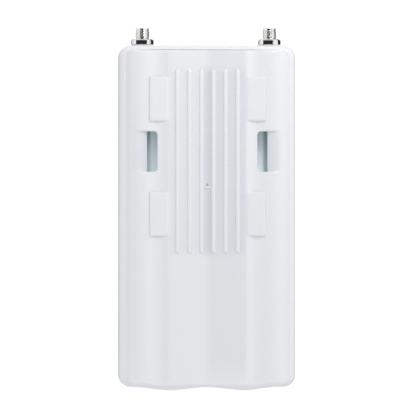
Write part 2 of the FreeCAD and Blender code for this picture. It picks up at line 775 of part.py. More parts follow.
# ---- coaxial connectors -------------------------------------------------------------------------
def rf_body(x):
    """Nickel-plated body: threaded nose, thinner neck under the nut, flange inside, cable stub."""
    y = CONNECTOR_Y
    flange_top = INNER_WALL_Z - SEAL_THICK
    body = fused([
        rod_z(2.7, x, y, BODY_FOOT_Z, flange_top - 1.7),
        rod_z(4.4, x, y, flange_top - 1.7, flange_top),
        rod_z(CORE_R, x, y, flange_top, THREAD_FOOT_Z),
        rod_z(THREAD_R, x, y, THREAD_FOOT_Z, THREAD_TOP_Z),
        rod_z(CORE_R - 0.25, x, y, THREAD_TOP_Z, THREAD_TOP_Z + 0.3),
        rod_z(CORE_R, x, y, THREAD_TOP_Z + 0.3, TIP_Z),
    ])
    return body.cut(rod_z(BORE_R, x, y, BODY_FOOT_Z - 1.0, TIP_Z + 1.0))


def rf_nut(x):
    """Hexagon nut, tightened to just off square, with its corners turned off at both ends."""
    radius = NUT_CORNERS / 2.0
    corners = []
    for i in range(6):
        turn = math.radians(60 * i + NUT_TURN)
        corners.append(Vector(
            x + radius * math.cos(turn), CONNECTOR_Y + radius * math.sin(turn), NUT_FOOT_Z
        ))
    hexagon = prism(polygon(corners), Vector(0, 0, NUT_HEIGHT))
    turned = rod_z(radius - 0.05, x, CONNECTOR_Y, NUT_FOOT_Z, NUT_TOP_Z)
    rims = [e for e in turned.Edges if len(e.Vertexes) == 1 and e.Length > 6.0]
    nut = hexagon.common(turned.makeChamfer(0.5, rims))
    return nut.cut(rod_z(CORE_R, x, CONNECTOR_Y, NUT_FOOT_Z - 1.0, NUT_TOP_Z + 1.0))


def rf_insulator(x):
    tube = rod_z(BORE_R, x, CONNECTOR_Y, BODY_FOOT_Z, TIP_Z - 2.2)
    return tube.cut(rod_z(PIN_R, x, CONNECTOR_Y, BODY_FOOT_Z - 1.0, TIP_Z + 1.0))


def rf_center_pin(x):
    pin = rod_z(PIN_R, x, CONNECTOR_Y, BODY_FOOT_Z, TIP_Z - 0.4)
    tip = [e for e in pin.Edges if e.BoundBox.ZMin > TIP_Z - 0.41]
    return pin.makeChamfer(0.2, tip)


def rf_seal(x):
    ring = rod_z(4.3, x, CONNECTOR_Y, INNER_WALL_Z - SEAL_THICK, INNER_WALL_Z)
    return ring.cut(rod_z(CORE_R, x, CONNECTOR_Y, 0, TOP_Z))


def coax_cable(side):
    """Thin coax: straight down out of the connector, one bend, then level to its board plug."""
    y = CONNECTOR_Y
    x = side * CONNECTOR_X
    bend_x = side * (CONNECTOR_X - COAX_BEND_R)
    crimp_end = side * (BOARD_PLUG_X + CRIMP_LENGTH)
    diagonal = COAX_BEND_R * (1.0 - math.sqrt(0.5))
    bend_top = Vector(x, y, BOARD_PLUG_Z + COAX_BEND_R)
    bend_end = Vector(bend_x, y, BOARD_PLUG_Z)
    bend_middle = Vector(side * (CONNECTOR_X - diagonal), y, BOARD_PLUG_Z + diagonal)
    path = Part.Wire([
        Part.LineSegment(Vector(x, y, BODY_FOOT_Z), bend_top).toShape(),
        Part.Arc(bend_top, bend_middle, bend_end).toShape(),
        Part.LineSegment(bend_end, Vector(crimp_end, y, BOARD_PLUG_Z)).toShape(),
    ])
    ring = Part.makeCircle(COAX_R, Vector(x, y, BODY_FOOT_Z), Vector(0, 0, -1))
    return path.makePipeShell([Part.Wire([ring])], True, False)


def coax_plugs():
    """The two snap-on plugs that join the coax cables to the board."""
    plug = rod_y(1.6, BOARD_PLUG_X, BOARD_PLUG_Z, BOARD_FRONT_Y, CONNECTOR_Y + 0.9)
    crimp = Part.makeCylinder(
        0.9, CRIMP_LENGTH, Vector(BOARD_PLUG_X, CONNECTOR_Y, BOARD_PLUG_Z), Vector(1, 0, 0)
    )
    return Part.makeCompound(both_sides(fused([plug, crimp])))


# ---- build --------------------------------------------------------------------------------------
def main():
    os.makedirs("parts", exist_ok=True)
    outside = housing_outside()
    hollow = housing_hollow()
    save("front_shell", front_shell(outside, hollow))
    save("port_door", port_door(outside, hollow))
    save("rear_cover", rear_cover())
    save("strap_channel", strap_channel())
    save("cover_gasket", rim_gasket())
    save("circuit_board", circuit_board())
    save("heat_spreader", heat_spreader())
    save("thermal_pads", thermal_pads())
    save("board_screws", board_screws())
    save("processor_shield", open_can(PROCESSOR_X, PROCESSOR_Z, 12.0, 12.0, 3.4))
    save("processor_chip", board_block(PROCESSOR_X, PROCESSOR_Z, 8.0, 8.0, 1.4, 0.2))
    save("memory_chips", Part.makeCompound([
        board_block(8.5, PROCESSOR_Z + offset, 5.5, 4.0, 1.1, 0.15) for offset in (-6.0, 6.0)
    ]))
    save("radio_shield", open_can(0.0, RADIO_Z + 2.0, 15.0, 16.0, 3.4))
    save("radio_chip", board_block(0.0, RADIO_Z, 5.0, 5.0, 1.0, 0.15))
    amplifier = board_block(10.0, RADIO_Z + 10.0, 2.0, 2.0, 1.0, 0.15)
    save("power_amplifiers", Part.makeCompound(both_sides(amplifier)))
    save("lan_transformer", board_block(0.0, -56.25, 6.5, 4.75, 5.8, 0.4))
    save("power_inductor", board_block(-21.5, -44.5, 3.5, 3.5, 4.2, 0.8))
    save("power_capacitors", Part.makeCompound([
        board_can_capacitor(-12.0, z, 7.7) for z in (-42.0, -50.0)
    ]))
    save("surge_arrestors", Part.makeCompound([surge_arrestor(side * 14.0, -59.0) for side in (-1, 1)]))
    save("status_leds", status_leds())
    save("light_pipes", light_pipes())
    save("ethernet_shield", ethernet_shield())
    save("ethernet_insert", ethernet_insert())
    save("ethernet_contacts", ethernet_contacts())
    save("reset_switch", reset_switch())
    save("reset_button", reset_button())
    for side, label in ((-1, "left"), (1, "right")):
        x = side * CONNECTOR_X
        save("rf_body_" + label, rf_body(x))
        save("rf_nut_" + label, rf_nut(x))
        save("rf_insulator_" + label, rf_insulator(x))
        save("rf_center_pin_" + label, rf_center_pin(x))
        save("rf_seal_" + label, rf_seal(x))
        save("coax_cable_" + label, coax_cable(side))
    save("coax_plugs", coax_plugs())


main()
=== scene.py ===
import math

import bmesh
import bpy
import numpy as np
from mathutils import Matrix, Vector


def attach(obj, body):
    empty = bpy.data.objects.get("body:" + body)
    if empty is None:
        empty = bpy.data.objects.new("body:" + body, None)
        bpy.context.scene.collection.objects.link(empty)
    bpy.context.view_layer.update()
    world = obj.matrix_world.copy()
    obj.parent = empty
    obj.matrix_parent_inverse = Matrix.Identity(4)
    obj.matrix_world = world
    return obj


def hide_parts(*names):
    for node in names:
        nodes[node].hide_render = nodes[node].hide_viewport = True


# Outdoor wireless bridge seen from its pole-mounting back. Metres, in the frame of the CAD part:
# +Z is up, +X is right when the back is looked at, and the back faces -Y.
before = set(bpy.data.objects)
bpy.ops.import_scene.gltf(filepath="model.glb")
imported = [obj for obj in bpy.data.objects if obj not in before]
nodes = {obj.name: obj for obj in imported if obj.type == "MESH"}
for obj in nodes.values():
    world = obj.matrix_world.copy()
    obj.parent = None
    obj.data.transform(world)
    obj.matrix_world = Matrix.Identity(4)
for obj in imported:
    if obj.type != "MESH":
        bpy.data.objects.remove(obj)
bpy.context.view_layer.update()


# ---- housing: front shell and port door --------------------------------------------------------
# The shell is one deep injection moulding in white UV-stable plastic. The port door is moulded in
# the same plastic and slides up over a sleeve on the shell. Both have a fine satin texture.
MM = 0.001


class Socket:
    """A shader output that arithmetic can be written on; every result is another Socket."""

    def __init__(self, tree, output):
        self.tree = tree
        self.output = output

    def feed(self, target):
        """Links the output to an input."""
        self.tree.links.new(self.output, target)

    def math(self, operation, other=None, swap=False):
        """One Math node: this value and the other one, or the other way round if swapped."""
        node = self.tree.nodes.new("ShaderNodeMath")
        node.operation = operation
        first, second = node.inputs[0], node.inputs[1]
        if swap:
            first, second = second, first
        self.feed(first)
        if isinstance(other, Socket):
            other.feed(second)
        elif other is not None:
            second.default_value = other
        return Socket(self.tree, node.outputs[0])

    def __add__(self, other):
        return self.math("ADD", other)

    def __sub__(self, other):
        return self.math("SUBTRACT", other)

    def __mul__(self, other):
        return self.math("MULTIPLY", other)

    def __truediv__(self, other):
        return self.math("DIVIDE", other)

    def __pow__(self, other):
        return self.math("POWER", other)

    def __radd__(self, other):
        return self.math("ADD", other, swap=True)

    def __rsub__(self, other):
        return self.math("SUBTRACT", other, swap=True)

    def __rmul__(self, other):
        return self.math("MULTIPLY", other, swap=True)

    def __rtruediv__(self, other):
        return self.math("DIVIDE", other, swap=True)

    def __rpow__(self, other):
        return self.math("POWER", other, swap=True)

    def size(self):
        """The value without its sign."""
        return self.math("ABSOLUTE")

    def clamp(self):
        """The value kept between 0 and 1."""
        node = self.tree.nodes.new("ShaderNodeClamp")
        self.feed(node.inputs[0])
        return Socket(self.tree, node.outputs[0])

    def mix(self, low, high):
        """Colour that runs from low to high as this value runs from 0 to 1."""
        node = self.tree.nodes.new("ShaderNodeMix")
        node.data_type = "RGBA"
        self.feed(node.inputs["Factor"])
        for target, colour in ((node.inputs[6], low), (node.inputs[7], high)):
            if isinstance(colour, Socket):
                colour.feed(target)
            else:
                target.default_value = (*colour, 1.0)
        return Socket(self.tree, node.outputs[2])


class Finish:
    """A node-based material under construction, with its object coordinates at hand."""

    def __init__(self, name):
        self.material = bpy.data.materials.new(name)
        self.material.use_nodes = True
        self.tree = self.material.node_tree
        self.shader = self.tree.nodes["Principled BSDF"]
        coordinates = self.tree.nodes.new("ShaderNodeTexCoord")
        self.position = Socket(self.tree, coordinates.outputs["Object"])

    def node(self, kind, output, inputs=None, **settings):
        """Any other node: its settings, its inputs by name, and the output to go on from."""
        node = self.tree.nodes.new(kind)
        for key, value in settings.items():
            setattr(node, key, value)
        for key, value in (inputs or {}).items():
            if isinstance(value, Socket):
                value.feed(node.inputs[key])
            else:
                node.inputs[key].default_value = value
        return Socket(self.tree, node.outputs[output])

    def along(self, axis):
        """The place along X, Y or Z in metres."""
        return self.node("ShaderNodeSeparateXYZ", axis, {0: self.position})

    def noise(self, scale, detail=2.0, stretch=(1.0, 1.0, 1.0)):
        """Noise from 0 to 1 with that many features per metre, stretched along the axes."""
        place = self.node(
            "ShaderNodeVectorMath", 0, {0: self.position, 1: stretch}, operation="MULTIPLY"
        )
        return self.node(
            "ShaderNodeTexNoise", "Fac", {"Vector": place, "Scale": scale, "Detail": detail}
        )

    def bump(self, height, distance):
        """Raises the surface by the height times the distance in metres."""
        normal = self.node(
            "ShaderNodeBump", "Normal", {"Height": height, "Distance": distance, "Strength": 1.0}
        )
        normal.feed(self.shader.inputs["Normal"])

    def set(self, **values):
        """Principled inputs, by name with underscores for spaces."""
        for key, value in values.items():
            target = self.shader.inputs[key.replace("_", " ")]
            if isinstance(value, Socket):
                value.feed(target)
            elif isinstance(value, tuple):
                target.default_value = (*value, 1.0)
            else:
                target.default_value = value


FLOW_MARKS_A_METRE = 28.0
FLOW_STRETCH = (1.0, 1.0, 0.4)
FLOW_ROUGHNESS = 0.05
TEXTURE_ROUGHNESS = 0.08
TEXTURE_DEPTH = 0.006 * MM
PLASTIC_IOR = 1.49


def moulded_look(name, colour, shade, roughness, grain):
    """Moulded plastic: slight flow marks in the colour, a fine tool texture and satin sheen."""
    look = Finish(name)
    flow = look.noise(FLOW_MARKS_A_METRE, 3.0, FLOW_STRETCH)
    texture = look.noise(grain, 2.0)
    look.colour = flow.mix(colour, shade)
    look.set(
        Base_Color=look.colour,
        Roughness=roughness + (texture - 0.5) * TEXTURE_ROUGHNESS + (flow - 0.5) * FLOW_ROUGHNESS,
        IOR=PLASTIC_IOR,
    )
    look.bump(texture, TEXTURE_DEPTH)
    return look


def finish_moulded(*settings):
    """The finished material of a moulded look."""
    return moulded_look(*settings).material


WHITE = (0.83, 0.84, 0.865)
WHITE_SHADE = (0.81, 0.822, 0.85)
WHITE_ROUGHNESS = 0.28
WHITE_GRAIN = 2600.0

# Painted shade darkens the joint between the shell and the top of the back cover, where the gap
# lies in shade. The joint runs just outside the cover's edge, straight along the top and round its
# corners, and the painted shade thins out towards both ends. The first three values are the cover's
# half width, top and corner radius.
HALF_X = 36.9
TOP_Z = 46.1
CORNER_R = 3.2
JOINT_OUTSIDE = 0.07
JOINT_HALF_WIDTH = 0.3
JOINT_SHADE_END_X = 34.0
JOINT_SHADE_THINNING_X = 14.0
JOINT_SHADE_END_Z = 43.5
JOINT_SHADE_THINNING_Z = 2.0
JOINT_SHADE_GREY = (0.16, 0.17, 0.19)


def within(place, edge, fade):
    """1 well below the edge, 0 beyond it and a slope between, for edge and fade in millimetres."""
    return ((edge * MM - place) / (fade * MM)).clamp()


def beyond(place, edge, fade):
    """0 below the edge, 1 well beyond it and a slope between, for edge and fade in millimetres."""
    return ((place - edge * MM) / (fade * MM)).clamp()


housing_look = moulded_look("housing_white", WHITE, WHITE_SHADE, WHITE_ROUGHNESS, WHITE_GRAIN)
across = housing_look.along("X").size()
upward = housing_look.along("Z")
corner_across = (across - (HALF_X - CORNER_R) * MM).math("MAXIMUM", 0.0)
corner_upward = (upward - (TOP_Z - CORNER_R) * MM).math("MAXIMUM", 0.0)
from_corner = (corner_across ** 2.0 + corner_upward ** 2.0).math("SQRT")
off_joint = (from_corner - (CORNER_R + JOINT_OUTSIDE) * MM).size()
# Painted shade: the colour turns grey along the joint, where the gap would be in shade.
joint_shade = (1.0 - off_joint / (JOINT_HALF_WIDTH * MM)).clamp()
joint_shade = joint_shade * within(across, JOINT_SHADE_END_X, JOINT_SHADE_THINNING_X)
joint_shade = joint_shade * beyond(upward, JOINT_SHADE_END_Z, JOINT_SHADE_THINNING_Z)
housing_look.set(Base_Color=joint_shade.mix(housing_look.colour, JOINT_SHADE_GREY))
housing_white = housing_look.material


def shade_smoothly(mesh, sharp_degrees):
    """Smooth shading, broken at edges sharper than the angle."""
    for face in mesh.polygons:
        face.use_smooth = True
    mesh.set_sharp_from_angle(angle=math.radians(sharp_degrees))


def settle(piece):
    """Applies the piece's modifiers: it gets a plain mesh and keeps no modifier."""
    bpy.context.view_layer.update()
    graph = bpy.context.evaluated_depsgraph_get()
    mesh = bpy.data.meshes.new_from_object(piece.evaluated_get(graph))
    piece.modifiers.clear()
    piece.data = mesh
    mesh.name = piece.name
    return piece


WELD_DISTANCE = 0.001 * MM


def weld(mesh):
    """Joins vertices that lie on each other and turns every face outwards."""
    work = bmesh.new()
    work.from_mesh(mesh)
    bmesh.ops.remove_doubles(work, verts=work.verts, dist=WELD_DISTANCE)
    bmesh.ops.recalc_face_normals(work, faces=work.faces)
    work.to_mesh(mesh)
    work.free()


def new_piece(name, mesh, material):
    """An object in the scene with that mesh, all of it in one material."""
    mesh.materials.clear()
    mesh.materials.append(material)
    piece = bpy.data.objects.new(name, mesh)
    bpy.context.scene.collection.objects.link(piece)
    return piece


def ride_on(piece, body, slot, *replaced):
    """Gives a finished piece its body and hides the CAD nodes that it stands for; its slot is not used.
    """
    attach(piece, body)
    if replaced:
        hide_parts(*replaced)


def add_piece(name, mesh, material, body, slot, *replaced):
    """Puts a finished mesh into the scene as a named piece that rides on its body."""
    ride_on(new_piece(name, mesh, material), body, slot, *replaced)


FLAT_WITHIN_DEGREES = 0.5


def refine_node(node, material, body, slot):
    """A copy of a CAD node for show: welded, its flat faces whole, and smooth-shaded."""
    mesh = nodes[node].data.copy()
    work = bmesh.new()
    work.from_mesh(mesh)
    bmesh.ops.remove_doubles(work, verts=work.verts, dist=2.0 * WELD_DISTANCE)
    bmesh.ops.dissolve_limit(
        work, angle_limit=math.radians(FLAT_WITHIN_DEGREES), verts=work.verts, edges=work.edges
    )
    bmesh.ops.recalc_face_normals(work, faces=work.faces)
    work.to_mesh(mesh)
    work.free()
    shade_smoothly(mesh, sharp_degrees=32.0)
    piece = new_piece(node + "_shown", mesh, material)
    weigh = piece.modifiers.new("normals", "WEIGHTED_NORMAL")
    weigh.keep_sharp = True
    ride_on(settle(piece), body, slot, node)


refine_node("front_shell", housing_white, "housing", "housing_white")
refine_node("port_door", housing_white, "door", "housing_white")


# ---- back cover --------------------------------------------------------------------------------
# A thin moulded plate snapped into the back of the shell. Its relief seats a pole: a shallow V
# trough, a valley and a rounded lobe on each side, four bearing pads that carry the trough out
# over the valleys, and two strap slots with scooped lead-ins.
FOOT_Z = -106.3
FOOT_LOBE = 0.8
FOOT_LOBE_X = 17.0
FOOT_NOTCH = 0.1
FOOT_WAVE_REACH = 14.0
RIM_Y = 3.6
COVER_WALL = 1.8
BRIDGE_Y = 3.4
TROUGH_Y = 2.02
TROUGH_SLOPE = 0.07
TROUGH_HALF = 17.9
VALLEY = (20.7, 1.5)
LOBE_CREST = (28.8, 0.55)
SHOULDER = (34.4, 1.6)
SHOULDER_END = 35.2
END_ROLL_Y = -0.5
TOP_ROLL = 2.4
FOOT_ROLL = 11.0
ROLL_BLEND = 0.9
FLANGE_SIDE = 2.3
FLANGE_TOP = 2.8
FLANGE_FOOT = 6.0
PAD_PROUD = 0.12
PAD_OUTER = 26.3
PAD_SPANS = ((14.0, 33.9), (-38.2, -18.5))
PAD_EDGE_R = 0.45
PAD_WALL_STEEPNESS = 9.0
PAD_BLEND = 0.25
SLOT_INNER = 22.7
SLOT_OUTER = 27.3
SLOT_HALF_Z = 9.15
SLOT_CORNER_R = 1.8
SLOT_EDGE_R = 0.45
SLOT_COLLAR = 2.4
SCOOP_OUTER = 34.2
SCOOP_DEPTH = 1.9
SCOOP_SIDE_SLOPE = 0.35
ROUNDING_SLACK = 0.01


def clamped_spline(points, start, end, count):
    """Points along the smooth curve through the given ones, with set directions at both ends."""
    points = np.array(points)
    chord = np.concatenate([[0.0], np.cumsum(np.linalg.norm(np.diff(points, axis=0), axis=1))])
    step = np.diff(chord)
    size = len(points)
    matrix = np.eye(size)
    slopes = np.zeros_like(points)
    slopes[0] = start
    slopes[-1] = end
    for i in range(1, size - 1):
        matrix[i, i - 1] = step[i]
        matrix[i, i] = 2.0 * (step[i - 1] + step[i])
        matrix[i, i + 1] = step[i - 1]
        before = (points[i] - points[i - 1]) / step[i - 1]
        after = (points[i + 1] - points[i]) / step[i]
        slopes[i] = 3.0 * (step[i] * before + step[i - 1] * after)
    slopes = np.linalg.solve(matrix, slopes)
    along = np.linspace(0.0, chord[-1], count)
    place = np.clip(np.searchsorted(chord, along, side="right") - 1, 0, size - 2)
    length = step[place]
    t = ((along - chord[place]) / length)[:, None]
    length = length[:, None]
    a, b = points[place], points[place + 1]
    m, n = slopes[place] * length, slopes[place + 1] * length
    return (
        (2 * t**3 - 3 * t**2 + 1) * a + (t**3 - 2 * t**2 + t) * m
        + (3 * t**2 - 2 * t**3) * b + (t**3 - t**2) * n
    )


trough_edge = (TROUGH_HALF, TROUGH_Y - TROUGH_SLOPE * TROUGH_HALF)
lobe_curve = clamped_spline(
    [trough_edge, VALLEY, LOBE_CREST, SHOULDER, (HALF_X, RIM_Y)],
    start=(0.963, 0.270), end=(0.783, 0.622), count=600,
)


def relief_y(x):
    """Depth of the back's side-to-side relief: V trough in the middle, a lobe on each side."""
    x = np.abs(x)
    trough = TROUGH_Y - TROUGH_SLOPE * x
    lobe = np.interp(x, np.maximum.accumulate(lobe_curve[:, 0]), lobe_curve[:, 1])
    return np.where(x < TROUGH_HALF, trough, lobe)


def blend_max(a, b, reach):
    """The larger value, eased where the two are within reach of each other."""
    ease = np.maximum(reach - np.abs(a - b), 0.0) / reach
    return np.maximum(a, b) + ease * ease * reach / 4.0


def blend_min(a, b, reach):
    """The smaller value, eased in the same way."""
    return -blend_max(-a, -b, reach)


def round_shoulder(outside, radius, steepness):
    """How far a flat top has fallen, by distance outside its edge: a quarter round, then a wall."""
    into = np.clip(outside + radius, 0.0, radius)
    curved = radius - np.sqrt(np.maximum(radius**2 - into**2, 0.0))
    return curved + np.maximum(outside, 0.0) * steepness


def slot_distance(x, z):
    """Distance outside a strap slot's outline, negative within: round corners inwards."""
    x = np.abs(x)
    across = np.maximum(SLOT_INNER - x, x - SLOT_OUTER)
    along = np.abs(z) - SLOT_HALF_Z
    square = np.where(
        (across > 0) & (along > 0), np.hypot(across, along), np.maximum(across, along)
    )
    corner_x = SLOT_INNER + SLOT_CORNER_R - x
    corner_z = np.abs(z) - (SLOT_HALF_Z - SLOT_CORNER_R)
    rounded = np.hypot(np.maximum(corner_x, 0.0), np.maximum(corner_z, 0.0)) - SLOT_CORNER_R
    return np.where((corner_x > 0) & (corner_z > 0), rounded, square)


def outer_y(x, z, roll):
    """Depth of the cover's outer face at a place, where roll is the end roll's own depth there."""
    y = blend_max(relief_y(x), roll, ROLL_BLEND)
    side = np.abs(x)
    for low, high in PAD_SPANS:
        ends = np.maximum(low - z, z - high)
        outside = np.maximum(ends, np.maximum(side - PAD_OUTER, TROUGH_HALF - side))
        pad = TROUGH_Y - PAD_PROUD - TROUGH_SLOPE * side
        pad = pad + round_shoulder(outside, PAD_EDGE_R, PAD_WALL_STEEPNESS)
        y = blend_min(y, pad, PAD_BLEND)
    fall = np.clip((SCOOP_OUTER - side) / (SCOOP_OUTER - SLOT_OUTER), 0.0, 1.0)
    depth = SCOOP_DEPTH * fall * fall * (2.0 - fall)
    inside = SLOT_HALF_Z + SCOOP_SIDE_SLOPE - np.abs(z)
    across = np.clip(inside / (2.0 * SCOOP_SIDE_SLOPE), 0.0, 1.0)
    share = across * across * (3.0 - 2.0 * across)
    in_scoop = (side > SLOT_OUTER - ROUNDING_SLACK) & (side < SHOULDER_END)
    y = np.where(in_scoop, y + depth * share, y)
    near = np.clip(SLOT_EDGE_R - slot_distance(x, z), 0.0, SLOT_EDGE_R)
    return y + SLOT_EDGE_R - np.sqrt(SLOT_EDGE_R**2 - near**2)


FINE_STEP = 0.17
COARSE_STEP_X = 0.8
COARSE_STEP_Z = 1.6
CROWDING = 2.47
TROUGH_COLUMNS = 9
WALL_COLUMNS = 15
ROLL_ROWS = 22


def spread(marks, fine, coarse):
    """Grid positions through all the marks, close together near each and wider in between."""
    places = [marks[0]]
    for low, high in zip(marks, marks[1:]):
        length = high - low
        count = max(math.sqrt(CROWDING * length / fine), math.pi * length / (2.0 * coarse))
        count = int(math.ceil(count))
        turns = np.linspace(0.0, math.pi, count + 1)[1:]
        places += list(low + length * (0.5 - 0.5 * np.cos(turns)))
    return np.array(places)


def foot_wave(x):
    """How far the two-lobed foot edge hangs below its ends."""
    side = np.abs(x)
    end = HALF_X - CORNER_R
    rise = (1.0 - FOOT_NOTCH) / 2.0
    inner = FOOT_NOTCH + rise * (1.0 - np.cos(math.pi * side / FOOT_LOBE_X))
    outer = 0.5 + 0.5 * np.cos(math.pi * (side - FOOT_LOBE_X) / (end - FOOT_LOBE_X))
    outer = np.where(side > end, 0.0, outer)
    return FOOT_LOBE * np.where(side < FOOT_LOBE_X, inner, outer)


def cover_grid():
    """Flat positions and end-roll depth of every grid point, as arrays of (rows, columns)."""
    wall = np.linspace(0.0, 1.0, WALL_COLUMNS)[1:]
    steep = SHOULDER_END + (HALF_X - SHOULDER_END) * (1.0 - (1.0 - wall) ** 2)
    marks = [TROUGH_HALF, SLOT_INNER, PAD_OUTER, SLOT_OUTER, SCOOP_OUTER, SHOULDER_END]
    side = spread(marks, FINE_STEP, COARSE_STEP_X)
    middle = np.linspace(0.0, TROUGH_HALF, TROUGH_COLUMNS)[:-1]
    right = np.concatenate([middle, side, steep])
    columns = np.concatenate([-right[:0:-1], right])

    turn = np.linspace(1.0, 0.0, ROLL_ROWS)
    top_z = TOP_Z - TOP_ROLL * (1.0 - turn) ** 2
    foot_z = FOOT_Z + FOOT_ROLL * (1.0 - turn) ** 2
    roll_y = END_ROLL_Y + (RIM_Y - END_ROLL_Y) * turn**2
    marks = [
        foot_z[-1], PAD_SPANS[1][0], PAD_SPANS[1][1], -SLOT_HALF_Z, -SLOT_HALF_Z + SLOT_CORNER_R,
        SLOT_HALF_Z - SLOT_CORNER_R, SLOT_HALF_Z, PAD_SPANS[0][0], PAD_SPANS[0][1], top_z[-1],
    ]
    straight = spread(marks, FINE_STEP, COARSE_STEP_Z)[1:-1]
    rows = np.concatenate([foot_z, straight, top_z[::-1]])
    rolls = np.concatenate([roll_y, np.full(len(straight), roll_y[-1]), roll_y[::-1]])
    x, z = np.meshgrid(columns, rows)
    roll = np.repeat(rolls[:, None], len(columns), axis=1)
    return x, z, roll


def round_corners(x, z):
    """Moves the rectangle's grid points so that its corners turn into quarter circles."""
    a = np.clip((np.abs(x) - (HALF_X - CORNER_R)) / CORNER_R, 0.0, 1.0)
    high = np.clip((z - (TOP_Z - CORNER_R)) / CORNER_R, 0.0, 1.0)
    low = np.clip(((FOOT_Z + CORNER_R) - z) / CORNER_R, 0.0, 1.0)
    b = np.maximum(high, low)
    shift_x = a * (1.0 - np.sqrt(1.0 - b * b / 2.0)) * CORNER_R
    shift_z = b * (1.0 - np.sqrt(1.0 - a * a / 2.0)) * CORNER_R
    return x - np.sign(x) * shift_x, z - np.where(high > 0, 1.0, -1.0) * shift_z


def cover_mesh():
    """The closed plate: outer face, inner face, and the walls of the two slots."""
    x, z, roll = cover_grid()
    rows, columns = x.shape
    y = outer_y(x, z, roll)
    y[0, :] = y[-1, :] = RIM_Y
    y[:, 0] = y[:, -1] = RIM_Y

    centre_x = (x[:-1, :-1] + x[1:, 1:]) / 2.0
    centre_z = (z[:-1, :-1] + z[1:, 1:]) / 2.0
    hole = slot_distance(centre_x, centre_z) < 0.0
    touches_hole = np.zeros(x.shape, bool)
    touches_solid = np.zeros(x.shape, bool)
    for dr in (0, 1):
        for dc in (0, 1):
            view = (slice(dr, rows - 1 + dr), slice(dc, columns - 1 + dc))
            touches_hole[view] |= hole
            touches_solid[view] |= ~hole
    edge = touches_hole & touches_solid
    step = 0.0001
    least_slope = 0.5
    for _ in range(3):
        gap = slot_distance(x, z)
        toward_x = (slot_distance(x + step, z) - gap) / step
        toward_z = (slot_distance(x, z + step) - gap) / step
        length = np.maximum(np.hypot(toward_x, toward_z), least_slope)
        x = np.where(edge, x - gap * toward_x / length, x)
        z = np.where(edge, z - gap * toward_z / length, z)
    surface = outer_y(x, z, roll)
    y = np.where(edge, surface, y)

    inner = np.minimum(relief_y(x) + COVER_WALL, RIM_Y)
    flange = (np.abs(x) > HALF_X - FLANGE_SIDE) | (z > TOP_Z - FLANGE_TOP) | (z < FOOT_Z + FLANGE_FOOT)
    collar = (np.abs(x) < SLOT_OUTER + SLOT_COLLAR) & (np.abs(z) < SLOT_HALF_Z + SLOT_COLLAR)
    inner = np.where(flange, RIM_Y, np.where(collar, BRIDGE_Y, inner))
    low = np.clip((FOOT_Z + FOOT_WAVE_REACH - z) / FOOT_WAVE_REACH, 0.0, 1.0)
    wave = low**2 * foot_wave(x)
    x, z = round_corners(x, z)
    z = z - wave

    index = np.arange(rows * columns).reshape(rows, columns)
    rim = np.zeros(x.shape, bool)
    rim[0, :] = rim[-1, :] = True
    rim[:, 0] = rim[:, -1] = True
    back_index = np.where(rim, index, index + rows * columns)
    verts = np.concatenate([
        np.stack([x, y, z], axis=-1).reshape(-1, 3), np.stack([x, inner, z], axis=-1).reshape(-1, 3)
    ]) * MM

    def quads(grid, keep):
        """The grid's squares that are kept, each by its four corners."""
        corners = (grid[:-1, :-1], grid[:-1, 1:], grid[1:, 1:], grid[1:, :-1])
        return np.stack(corners, axis=-1)[keep]

    outer_faces = quads(index, ~hole)
    inner_faces = quads(back_index, ~hole)[:, ::-1]
    walls = []
    for r in range(rows - 1):
        for c in range(columns - 1):
            if hole[r, c]:
                continue
            around = (
                (r - 1, c, (r, c), (r, c + 1)), (r, c + 1, (r, c + 1), (r + 1, c + 1)),
                (r + 1, c, (r + 1, c + 1), (r + 1, c)), (r, c - 1, (r + 1, c), (r, c)),
            )
            for nr, nc, first, second in around:
                inside = 0 <= nr < rows - 1 and 0 <= nc < columns - 1
                if inside and hole[nr, nc]:
                    walls.append([
                        index[second], index[first], back_index[first], back_index[second]
                    ])
    faces = outer_faces.tolist() + inner_faces.tolist() + walls
    mesh = bpy.data.meshes.new("rear_cover_shown")
    mesh.from_pydata(verts.tolist(), [], faces)
    work = bmesh.new()
    work.from_mesh(mesh)
    loose = [v for v in work.verts if not v.link_faces]
    bmesh.ops.delete(work, geom=loose, context="VERTS")
    bmesh.ops.recalc_face_normals(work, faces=work.faces)
    work.to_mesh(mesh)
    work.free()
    shade_smoothly(mesh, sharp_degrees=40.0)
    return mesh


# The colour is painted darker with one grey-blue tint, as painted shade: in the gaps between the
# ribs, in the trough's bottom and its right half, in the lead-ins of the slots and on the shoulders.
# It imitates shade and uneven light; nothing in the shape or the plastic makes it this dark.
# Each place below is an edge and the width over which the tint fades there.
PAINTED_SHADE_COLOUR = (0.66, 0.685, 0.74)
RIB_MIDDLE_Z = -4.4
TROUGH_SIDE = (18.6, 2.0)
TROUGH_FOOT = (-104.0, 8.0)
RIB_ENDS = (40.0, 4.0)
BOTTOM_SIDE = (2.2, 0.5)
RIGHT_HALF_START = (-1.5, 3.0)
SCOOP_FAR_SIDE = (34.5, 6.0)
SCOOP_NEAR_SIDE = (26.5, 0.8)
SCOOP_ENDS = (9.5, 1.2)
SHOULDER_START = (33.5, 3.4)
RIGHT_HALF_TINT = 0.30
RIB_GAP_TINT = 0.16
RIGHT_GAP_EXTRA = 0.12
BOTTOM_TINT = 0.46
SCOOP_TINT = 0.85
RIGHT_SCOOP_LESS = 0.35
SHOULDER_TINT = 0.2
cover_look = moulded_look("cover_white", WHITE, WHITE_SHADE, WHITE_ROUGHNESS, WHITE_GRAIN)
cover_across = cover_look.along("X")
cover_side = cover_across.size()
cover_height = cover_look.along("Z")
in_trough = within(cover_side, *TROUGH_SIDE) * beyond(cover_height, *TROUGH_FOOT)
beside_ribs = (cover_height - RIB_MIDDLE_Z * MM).size()
in_ribs = in_trough * (1.0 - beyond(beside_ribs, *RIB_ENDS))
in_bottom = in_ribs * within(cover_side, *BOTTOM_SIDE)
